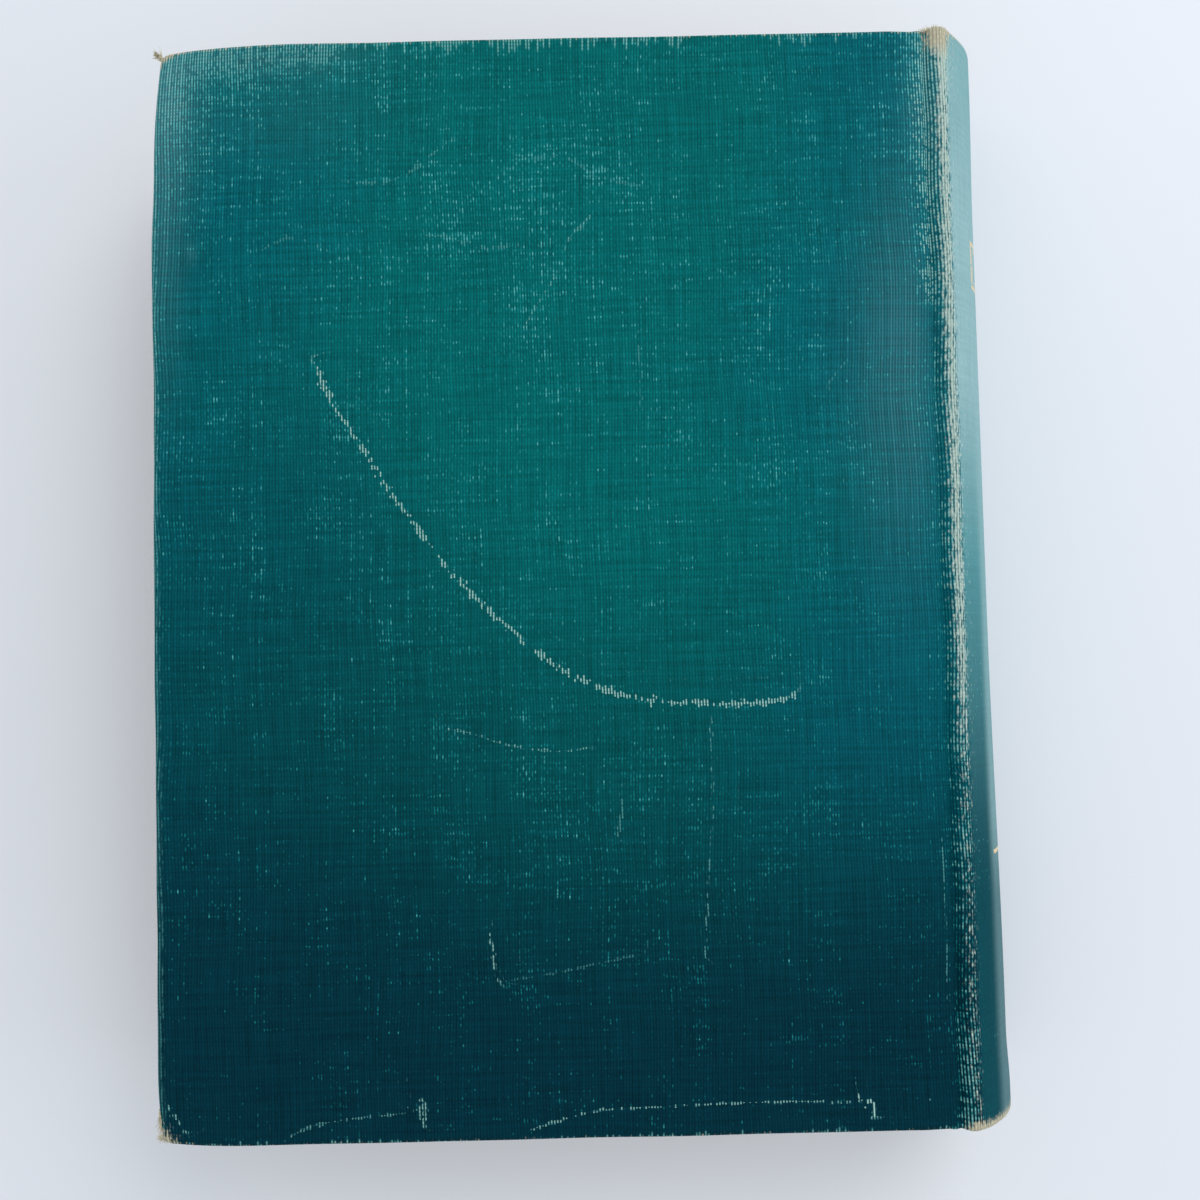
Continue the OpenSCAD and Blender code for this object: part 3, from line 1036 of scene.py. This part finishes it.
# Boards
boardValues = {
    "inFore": 0.5,
    "underCloth": 0.06,
    "roughness": 0.9,
    "specular": 0.15,
    "scale": 1.0,
    "shown": "Fibre",
    "dark": (0.20, 0.165, 0.115),
    "light": (0.36, 0.30, 0.21),
    "speck": (0.10, 0.08, 0.05),
    "speckShare": 0.5,
    "relief": 0.08,
}


def fibreMaterial(name, v):
    # Board or stiff paper: two tones by its fibres or its mottling, and specks.
    material, tree, shader = newMaterial(name, v["roughness"], v["specular"])
    fibre = useGroup(fibreGroup, Vector=objectPlace(tree), Scale=v["scale"])
    colour = mixColour(fibre[v["shown"]], v["dark"], v["light"])
    colour = mixColour(fibre["Speck"] * v["speckShare"], colour, v["speck"])
    dress(shader, colour, fibre["Fibre"], v["relief"])
    return material


def makeBoard(side, material):
    # A board under the cloth: its outer face follows the cloth's, and its corners are knocked alike.
    v = boardValues
    lowX, inner, half = foreX + v["inFore"], boardLow[2] - middle, boardHigh[1]
    xs = steps(lowX, (lowX + 5, 0.7), (74, 4.5), (boardHigh[0], 1.0))
    ys = bothWays(half, (6, 0.8), (half, 5.0))
    cells, faces = shellLattice(len(xs) - 1, len(ys) - 1, 4)
    corner = caseValues["cornerRound"] - v["inFore"]
    x, y, *_ = rounded(xs[cells[:, 0]], ys[cells[:, 1]], lowX, half, corner)
    movedX, movedY = knocked(x, y, side)
    face = coverHeight(x) - caseValues["clothThick"] - v["underCloth"] + coverWarp(x, y, side)
    h = inner + (face - inner) * cells[:, 2] / 4
    points = np.stack([x + (movedX - x) * (1 - smooth(80, 84, x)), movedY, middle + sideSign[side] * h], 1)
    piece = makePiece(f"{side}_cover_board", points, faces, material, flip=side == "front", sharpAngle=40)
    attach(piece, f"{side}_cover")
    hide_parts(f"{side}_board")


greyBoard = fibreMaterial("greyBoard", boardValues)
for side in sideSign:
    makeBoard(side, greyBoard)
print("boards made")

# Endpapers
endpaperValues = {
    "jointX": 85.7,
    "turnInShows": 0.40,  # relief of what lies under the pastedown
    "turnInEdge": (16.2, 17.4),  # from the fore edge
    "turnInEnds": (114.2, 112.6),
    "flangeShows": 0.10,
    "flangeEdge": (54.6, 56.2),
    "flangeEnds": (113.0, 111.6),
    "riseInJoint": 0.78,
    "sinkAtShoulder": 0.40,
    "cream": (0.76, 0.68, 0.52),
    "mottle": (0.66, 0.57, 0.41),
    "rimBrown": (0.50, 0.36, 0.20),
    "gutterBrown": (0.52, 0.40, 0.24),
    "spotBrown": (0.42, 0.25, 0.10),
}


def makeEndpaperMaterial():
    # Aged cream paper, browner near its edges, with a few soft brown spots.
    v = endpaperValues
    material, tree, shader = newMaterial("agedEndpaper", roughness=0.88, specular=0.2)
    place = objectPlace(tree)
    x, y, _ = split(place)
    fibre = useGroup(fibreGroup, Vector=place, Scale=1.0)
    colour = mixColour(fibre["Mottle"], v["mottle"], v["cream"])
    cloud = noise(place, 60.0, 3.0) * 0.022
    fromHead = pageY * mm - abs(y)
    fromFore = x - pageX * mm
    rim = ramp(smaller(fromHead, fromFore) - cloud, 0.016, -0.014)
    colour = mixColour(rim * 0.75, colour, v["rimBrown"])
    gutter = ramp(x - cloud, 0.062, 0.084)
    colour = mixColour(gutter * 0.45, colour, v["gutterBrown"])
    spots = ramp(noise(stretched(place, (1, 1, 1), (0.3, 0.1, 0)), 210.0, 2.0), 0.70, 0.78)
    colour = mixColour(spots * 0.35, colour, v["spotBrown"])
    colour = shaded(colour, 0.90 + fibre["Fibre"] * 0.2)
    dress(shader, colour, fibre["Fibre"], 0.03)
    return material


def paperLeaf(name, side, x, y, h, material):
    # A leaf of paper through a grid of points, given thickness both ways.
    points = np.stack([x, y, middle + sideSign[side] * h], -1).reshape(-1, 3)
    faces = gridFaces(*x.shape)
    faces = faces[:, ::-1] if side == "back" else faces
    points, faces, _ = thickened(points, faces, leafHigh[2] - leafLow[2], 0.5, {})
    return makePiece(name, points, faces, material, sharpAngle=50)


def makeEndpapers(side, material):
    # The pastedown shows the turned-in cloth, the edge of the mull and the joint under it. The flyleaf
    # lies on the pages and meets it at the shoulder.
    v = endpaperValues
    ys = bothWays(pageY, (8, 0.9), (22, 0.7), (pageY, 3.0))
    path = steps(pageX, (-82, 0.8), (54, 3.4), (60, 0.7), (80, 2.0), (v["jointX"], 0.22))
    x, y = np.meshgrid(path, ys, indexing="ij")
    leafThick = leafHigh[2] - leafLow[2]
    level = pasteLow[2] + leafThick / 2 - middle
    wander = 0.7 * waves(x, y, 24, 5 + sideSign[side])
    edgeFrom, edgeTo = v["turnInEdge"]
    turned = smooth(foreX + edgeFrom, foreX + edgeTo, x + 0.5 * wander)
    turned = turned * smooth(*v["turnInEnds"], abs(y) + 0.5 * wander)
    flange = smooth(*v["flangeEdge"], x) * smooth(*v["flangeEnds"], abs(y))
    filled = flange * (v["turnInShows"] - v["flangeShows"]) * smooth(82, 80, x)
    h = level + turned * (v["turnInShows"] - filled)
    h = np.where(x > 80, level + (h - level) * smooth(82.4, 81, x), h)
    rise = smooth(81.8, 83.2, x) * smooth(85.6, 84.3, x)
    h = h + rise * v["riseInJoint"] * (1 - 0.68 * smooth(110, 114, abs(y)))
    h = h - smooth(84.6, v["jointX"], x) * v["sinkAtShoulder"]
    h = h + 0.025 * waves(x, y, 40, 9) * smooth(0, 3, pageY - abs(y)) * smooth(82, 78, x)
    pasted = paperLeaf(f"{side}_pasted_endpaper", side, x, y, h, material)
    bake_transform(pasted)
    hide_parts(f"{side}_pastedown")
    path = steps(pageX, (80, 4.0), (v["jointX"], 0.6))
    x, y = np.meshgrid(path, ys, indexing="ij")
    h = np.full(x.shape, (leafLow[2] + leafHigh[2]) / 2 - middle)
    h = h + 0.03 * smooth(30, 0, x - pageX) * (1 + waves(x, y, 60, 3))
    fly = paperLeaf(f"{side}_free_endpaper", side, x, y, h, material)
    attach(fly, "pages")
    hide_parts(f"{side}_flyleaf")


agedEndpaper = makeEndpaperMaterial()
for side in sideSign:
    makeEndpapers(side, agedEndpaper)
print("endpapers made")

# Pages
blockValues = {
    "shoulder": 86.0,
    "crestHalf": 23.1,
    "backRise": 10.2,
    "sections": 24,
    "foreRough": 0.16,
    "trimRough": 0.05,
    "gapAtEnds": 0.06,  # between sewn sections
    "gapAtBack": 0.35,
    "light": (0.72, 0.61, 0.42),
    "dark": (0.33, 0.235, 0.125),
    "stain": (0.50, 0.36, 0.20),
    "gap": (0.16, 0.105, 0.055),
    "dust": (0.30, 0.225, 0.14),
    "glue": (0.34, 0.24, 0.12),
}


def leafNoise(at, x, y, across, along, roughness):
    # Noise in long streaks on the cut edges: at counts millimetres across the leaves.
    return noise(join(at * across, x * along, y * along), 1.0, 2.0, roughness)


def makePagesMaterial():
    # Edges of many leaves: fine lines along each leaf, darker gaps between the sewn sections, and dust.
    v = blockValues
    material, tree, shader = newMaterial("pageEdges", roughness=0.9, specular=0.15)
    place = objectPlace(tree)
    x, y, _ = split(place)
    at = attribute(tree, "leaf", "Fac") + noise(place, 25.0, 2.0) * 0.9 * 0.25
    fine = leafNoise(at, x, y, 5.5, 14.0, 0.7)
    broad = leafNoise(at, x, y, 0.9, 5.0, 0.5)
    colour = mixColour(ramp(fine, 0.28, 0.72), v["dark"], v["light"])
    colour = mixColour(ramp(broad, 0.3, 0.7, 0.0, 0.4), colour, v["stain"])
    section = at * (math.pi * v["sections"] / (blockHigh[2] - blockLow[2]))
    gap = abs(calc("COSINE", section)) ** 14.0
    colour = mixColour(gap * 0.42, colour, v["gap"])
    dust = ramp(noise(place, 30.0, 3.0), 0.3, 0.7, 0.25, 0.75)
    colour = mixColour(ramp(y, 0.118, 0.128) * dust, colour, v["dust"])
    colour = mixColour(ramp(x, 0.0815, 0.0875) * 0.5, colour, v["glue"])
    dress(shader, colour, fine, 0.07)
    return material


def makePages(material):
    # All the leaves as one solid. A leaf runs from the hollow fore edge, flat to the shoulder, and there
    # turns outwards to its place on the rounded back. Its cut edges stand a little in or out.
    v = blockValues
    back = arcRadius(v["crestHalf"], v["backRise"])
    backX = blockHigh[0] - back
    across = np.sin(np.linspace(-1, 1, 117) * math.pi / 2 * 0.86) / math.sin(math.pi / 2 * 0.86)
    run = steps(0, (0.03, 0.01), (0.84, 0.045), (0.88, 0.012), (0.96, 0.006), (1, 0.012))
    rows = bothWays(pageY, (1.5, 0.75), (pageY, 5.0))
    cells, faces = shellLattice(len(run) - 1, len(rows) - 1, len(across) - 1)
    share, y, leaf = run[cells[:, 0]], rows[cells[:, 1]], across[cells[:, 2]]
    foreAt = pageX + np.sqrt(back**2 - (pageH * leaf) ** 2) - math.sqrt(back**2 - pageH**2)
    backAt = backX + np.sqrt(back**2 - (v["crestHalf"] * leaf) ** 2)
    x = foreAt + (backAt - foreAt) * share
    starts = v["shoulder"] - 0.1 - 9 * (1 - abs(leaf))
    ends = v["shoulder"] + 1.7 + 6 * (1 - abs(leaf))
    z = leaf * (pageH + (v["crestHalf"] - pageH) * smooth(starts, ends, x))
    draw = np.random.default_rng(41)
    proud = np.convolve(draw.normal(0, 1, len(across) + 4), [0.2, 0.3, 1.0, 0.3, 0.2], "valid")[cells[:, 2]]
    tilt = draw.normal(0, 1, len(across))[cells[:, 2]]
    proud = proud + tilt * np.sin(y / 41 + 3 * tilt)
    x = np.maximum(x + v["foreRough"] * smooth(0.02, 0, share) * (proud - 1.2).clip(-3.0, 3), pageX)
    atEnd = smooth(pageY - 0.4, pageY, abs(y))
    sewn = abs(np.sin(leaf * math.pi * v["sections"] / 2))
    trimmed = v["trimRough"] * (1.6 + tilt * np.sin(x / 23 + tilt)).clip(0, 4) + v["gapAtEnds"] * (1 - sewn)
    y = y - np.sign(y) * atEnd * trimmed
    x = x - v["gapAtBack"] * (1 - sewn) * smooth(0.985, 1, share)
    points = np.stack([x, y, middle + z], 1)
    piece = makePiece("paged_block", points, faces, material, {"leaf": leaf * pageH}, sharpAngle=50)
    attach(piece, "pages")
    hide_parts("text_block")


makePages(makePagesMaterial())
print("pages made")


# Head and tail bands
bandValues = {
    "gap": 0.3,  # to the back of the block
    "endGap": 0.4,
    "stripe": 3.6,  # one cream and one green stripe
    "thread": 0.9,
    "sides": 14,
    "cream": (0.60, 0.52, 0.36),
    "green": (0.10, 0.22, 0.17),
}


def tubeAlong(path, radius, sides, sideways, upwards):
    # Rings of points round a path: path + radius (cos sideways + sin upwards), and their quads.
    turn = np.linspace(0, 2 * math.pi, sides, endpoint=False)
    ring = np.cos(turn)[None, :, None] * sideways[:, None] + np.sin(turn)[None, :, None] * upwards[:, None]
    points = (path[:, None] + radius[:, None, None] * ring).reshape(-1, 3)
    last = (len(path) - 1) * sides
    k = np.arange(sides // 2 - 1)
    cap = np.stack([k, k + 1, sides - 2 - k, sides - 1 - k], 1)  # strips across an end's ring
    return points, np.concatenate([gridFaces(len(path), sides, closed=True), cap[:, ::-1], last + cap])


def makeBandMaterial():
    # Threads wound round a core, cream and faded green in turn.
    v = bandValues
    material, tree, shader = newMaterial("bandThread", roughness=0.7, specular=0.25)
    wound = attribute(tree, "wound", "Fac")
    place = objectPlace(tree)
    stripe = calc("SINE", wound * (2 * math.pi / v["stripe"]))
    colour = mixColour(ramp(stripe, -0.06, 0.06), v["cream"], v["green"])
    thread = noise(join(wound * 9.0, 0.0), 1.0, 2.0)
    soil = thread * 0.5 + noise(place, 300.0, 3.0) * 0.6
    colour = shaded(colour, soil + 0.42)
    dress(shader, colour, thread, 0.08)
    return material


def makeBand(name, end, material):
    # A tube on an arc just inside the block's back. Its radius swells and shrinks with each thread wound
    # round it, and closes at both ends.
    v = bandValues
    radius = (bandHigh[1] - bandLow[1]) / 2
    centreX = blockHigh[0] - arcRadius(blockValues["crestHalf"], blockValues["backRise"])
    arc = blockHigh[0] - v["gap"] - radius - centreX
    widest = math.asin((pageH - v["endGap"]) / arc)
    angle = np.linspace(-widest, widest, 47 * 6 + 1)
    walked = angle * arc
    wind = abs(np.sin(walked * math.pi / v["thread"]))
    thick = radius * (0.90 + 0.10 * wind ** 0.6)
    thick[[0, -1]] *= 0.05
    thick[[1, -2]] *= 0.7
    sideways = np.stack([np.cos(angle), 0 * angle, np.sin(angle)], 1)
    path = centreX * np.array([1, 0, 0]) + arc * sideways
    path[:, 1] = end * (bandLow[1] + radius)
    path[:, 2] += middle
    upwards = np.array([[0, 1.0, 0]]).repeat(len(path), 0)
    points, faces = tubeAlong(path, thick, v["sides"], sideways, upwards)
    piece = makePiece(name, points, faces, material, {"wound": np.repeat(walked, v["sides"])})
    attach(piece, "pages")
    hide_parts("head_band" if end > 0 else "tail_band")


bandThread = makeBandMaterial()
makeBand("wound_head_band", 1, bandThread)
makeBand("wound_tail_band", -1, bandThread)
print("bands made")


# Linings and mull keep their CAD shapes
mullValues = {
    "warpPitch": 1.1,
    "weftPitch": 1.3,
    "wander": 1.0,
    "glue": (0.20, 0.13, 0.06),
    "cotton": (0.62, 0.54, 0.36),
    "brown": (0.45, 0.36, 0.2),
    "relief": 0.25,
}
liningValues = {
    "roughness": 0.85,
    "specular": 0.2,
    "scale": 0.8,
    "shown": "Mottle",
    "dark": (0.30, 0.205, 0.115),
    "light": (0.44, 0.32, 0.19),
    "speck": (0.14, 0.09, 0.05),
    "speckShare": 0.6,
    "relief": 0.06,
}


def makeMullMaterial(name, swap):
    # Open cotton weave soaked with brown glue. swap takes height instead of X, for the piece on the back.
    v = mullValues
    material, tree, shader = newMaterial(name, roughness=0.85, specular=0.2)
    x, y, z = split(objectPlace(tree))
    flat = stretched(join(z if swap else x, y), (1000, 1000, 1000))
    pitches = {"WarpPitch": v["warpPitch"], "WeftPitch": v["weftPitch"]}
    weave = useGroup(weaveGroup, Flat=flat, Wander=v["wander"], **pitches)
    colour = mixColour(ramp(weave["Height"], 0.15, 0.55), v["glue"], v["cotton"])
    colour = mixColour(weave["Cell"] * 0.3, colour, v["brown"])
    dress(shader, colour, weave["Height"], v["relief"])
    return material


kraftLining = fibreMaterial("kraftLining", liningValues)
backMull = makeMullMaterial("backMull", True)
flangeMull = makeMullMaterial("flangeMull", False)

inlayValues = {"thick": 0.6, "underCloth": 0.03, "around": 26, "along": 70}


def makeInlay(material):
    # The stiff paper inside the spine cloth: part of a ring that leans as the cloth does.
    low, high = boxOf("spine_inlay")
    v = inlayValues
    outside = spineRadius - caseValues["clothThick"] - v["underCloth"]
    inside = outside - v["thick"]
    widest = math.asin((high[2] - low[2]) / 2 / outside)
    around, along = v["around"], v["along"]
    cells, faces = shellLattice(around, along, 1)
    angle = (cells[:, 0] / (around / 2) - 1) * widest
    y = high[1] * (cells[:, 1] / (along / 2) - 1)
    radius = inside + (outside - inside) * cells[:, 2]
    x = spineCentre + radius * np.cos(angle) + spineLean(crownFlat - abs(angle) * spineRadius, y)
    points = np.stack([x, y, middle + radius * np.sin(angle)], 1)
    piece = makePiece("spine_stiffener", points, faces, material, flip=True, sharpAngle=40)
    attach(piece, "pages")
    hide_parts("spine_inlay")


makeInlay(kraftLining)
for name, material in (
    ("spine_mull", backMull), ("spine_lining", kraftLining),
    ("front_mull_flange", flangeMull), ("back_mull_flange", flangeMull),
):
    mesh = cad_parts[name].data
    mesh.materials.clear()
    mesh.materials.append(material)
print("linings given materials")


# Loose threads at worn corners and caps
tuftValues = {
    "thick": 0.085,
    "deep": (0.42, 0.38, 0.25),
    "pale": (0.72, 0.68, 0.52),
    "curl": 0.7,
    "scatter": 0.12,
}


def makeThreadMaterial():
    material, tree, shader = newMaterial("looseThread", roughness=0.9, specular=0.15)
    tone = noise(objectPlace(tree), 900.0, 2.0)
    colour = mixColour(ramp(tone, 0.3, 0.7), tuftValues["deep"], tuftValues["pale"])
    dress(shader, colour, tone, 0.05)
    return material


def makeTuft(name, body, roots, headings, length, count, spread, seed):
    # Fibres that start along a line of roots, set off towards their headings and curl at random. A root is
    # x, y and the depth below the back cover's face.
    v = tuftValues
    draw = np.random.default_rng(seed)
    at = draw.uniform(0, len(roots) - 1.001, count)
    i = at.astype(int)
    part = (at - i)[:, None]
    roots, headings = np.array(roots, float), np.array(headings, float)
    roots[:, 2] = middle + outer - roots[:, 2]
    root = roots[i] * (1 - part) + roots[i + 1] * part + draw.normal(0, v["scatter"], (count, 3))
    strays = draw.normal(0, spread, (count, 3)) * [1, 1, 0.5]
    heading = headings[i] * (1 - part) + headings[i + 1] * part + strays
    heading /= np.linalg.norm(heading, axis=1)[:, None]
    long = length * draw.uniform(0.35, 1.0, count) ** 1.3
    t = np.linspace(0, 1, 7)[None, :, None]
    side = np.cross(heading, draw.normal(0, 1, (count, 3)))
    side /= np.linalg.norm(side, axis=1)[:, None]
    curl = draw.uniform(-v["curl"], v["curl"], count)[:, None, None] * long[:, None, None]
    path = root[:, None] + heading[:, None] * long[:, None, None] * t + side[:, None] * curl * t * t
    other = np.cross(heading, side)
    turn = np.linspace(0, 2 * math.pi, 4, endpoint=False)
    ring = np.cos(turn)[None, :, None] * side[:, None] + np.sin(turn)[None, :, None] * other[:, None]
    thick = v["thick"] * draw.uniform(0.6, 1.2, count)[:, None, None, None] * (1 - 0.55 * t[:, :, :, None])
    points = path[:, :, None] + thick * ring[:, None]
    one = gridFaces(7, 4, closed=True)
    one = np.concatenate([one, [[3, 2, 1, 0], [24, 25, 26, 27]]])
    faces = (one[None] + 28 * np.arange(count)[:, None, None]).reshape(-1, 4)
    piece = makePiece(name, points.reshape(-1, 3), faces, looseThread)
    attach(piece, body)


looseThread = makeThreadMaterial()
# name, body, roots, headings, length, count, spread and seed
for values in (
    ("head_corner_strand", "back_cover",
     [(-98.8, 126.6, 1.5), (-98.5, 127.2, 1.3)],
     [(-0.72, 0.66, 0.1), (-0.66, 0.72, 0.1)], 3.1, 70, 0.10, 3),
    ("head_corner_knob", "back_cover",
     [(-100.2, 128.2, 1.3), (-100.9, 128.9, 1.2)],
     [(-0.8, -0.1, 0.1), (0.1, 0.8, 0.2)], 0.9, 60, 0.9, 7),
    ("head_corner_fringe", "back_cover",
     [(-98.6, 126.0, 0.9), (-97.6, 127.2, 0.7), (-93.5, 128.0, 0.7)],
     [(-0.5, 0.5, 0.1), (0.2, 0.8, 0.1), (0.5, 0.6, 0.0)], 0.9, 90, 0.4, 8),
    ("tail_corner_roll", "back_cover",
     [(-100.8, -121.2, 1.1), (-100.7, -125.2, 1.2)],
     [(-0.1, -1.0, 0.0), (0.1, -1.0, 0.0)], 3.4, 110, 0.14, 4),
    ("tail_corner_knob", "back_cover",
     [(-100.6, -127.6, 1.5), (-100.9, -128.3, 1.5), (-98.2, -129.2, 1.6)],
     [(-0.6, -0.5, 0.1), (-0.6, -0.6, 0.1), (0.5, -0.4, 0.0)], 1.2, 90, 0.7, 9),
    ("head_cap_threads", "pages",
     [(84.6, 130.1, 0.9), (87.6, 130.7, 0.6), (90.5, 130.3, 1.6)],
     [(-0.4, 0.8, 0.1), (0.1, 0.9, 0.1), (0.6, 0.5, 0.0)], 1.1, 150, 0.3, 5),
    ("tail_cap_threads", "pages",
     [(86.6, -130.1, 0.9), (90.0, -130.3, 1.6), (97.5, -130.0, 8.5)],
     [(-0.1, -0.9, 0.1), (0.1, -0.9, 0.1), (0.5, -0.6, 0.0)], 0.8, 170, 0.3, 6),
):
    makeTuft(*values)
print("loose threads made")


# Floor and light; lamps have place and size in metres, and power in watts
stageValues = {"half": 15000, "dark": (0.74, 0.775, 0.83), "light": (0.79, 0.815, 0.86)}
roomValues = {"tint": (0.93, 0.96, 1.0, 1), "strength": 0.76, "seen": (0.80, 0.83, 0.87, 1)}
lampValues = {
    "window": {"place": (0.75, 1.15, 1.35), "size": 1.3, "power": 14.2, "tint": (1.0, 0.99, 0.97)},
    "fill": {"place": (1.4, -0.1, 0.7), "size": 0.9, "power": 4.0, "tint": (0.96, 0.98, 1.0)},
}


def makeStage():
    # A plain pale table of one large quad.
    v = stageValues
    material, tree, shader = newMaterial("paleTable", roughness=0.5, specular=0.2)
    place = objectPlace(tree)
    colour = mixColour(noise(place, 3.0, 2.0), v["dark"], v["light"])
    feed(shader.inputs["Base Color"], colour)
    corners = np.array([[-1, -1, 0], [1, -1, 0], [1, 1, 0], [-1, 1, 0]], float) * v["half"]
    floor = makePiece("table", corners, np.array([[0, 1, 2, 3]]), material)


def makeLights():
    # An even room, a window lamp at the upper right and a weak fill.
    v = roomValues
    world = bpy.data.worlds.new("studio")
    world.use_nodes = True
    tree = world.node_tree
    tree.nodes.clear()
    rays = node(tree, "ShaderNodeLightPath", {}).outputs
    seen = larger(Value(rays["Is Camera Ray"]), Value(rays["Is Glossy Ray"]))
    room = outputOf(tree, "ShaderNodeBackground", 0, {"Color": v["tint"], "Strength": v["strength"]})
    pale = outputOf(tree, "ShaderNodeBackground", 0, {"Color": v["seen"], "Strength": 1.0})
    mixed = outputOf(tree, "ShaderNodeMixShader", 0, {0: seen, 1: room, 2: pale})
    node(tree, "ShaderNodeOutputWorld", {"Surface": mixed})
    scene.world = world
    for name, values in lampValues.items():
        data = bpy.data.lights.new(name, "AREA")
        data.size = values["size"]
        data.energy = values["power"]
        data.color = values["tint"]
        lamp = bpy.data.objects.new(name, data)
        lamp.location = values["place"]
        lamp.rotation_mode = "QUATERNION"
        lamp.rotation_quaternion = (Vector((0, 0, 0.03)) - lamp.location).to_track_quat("-Z", "Y")
        scene.collection.objects.link(lamp)
    scene.view_settings.view_transform = "Standard"


makeStage()
makeLights()
print("stage and lights made")
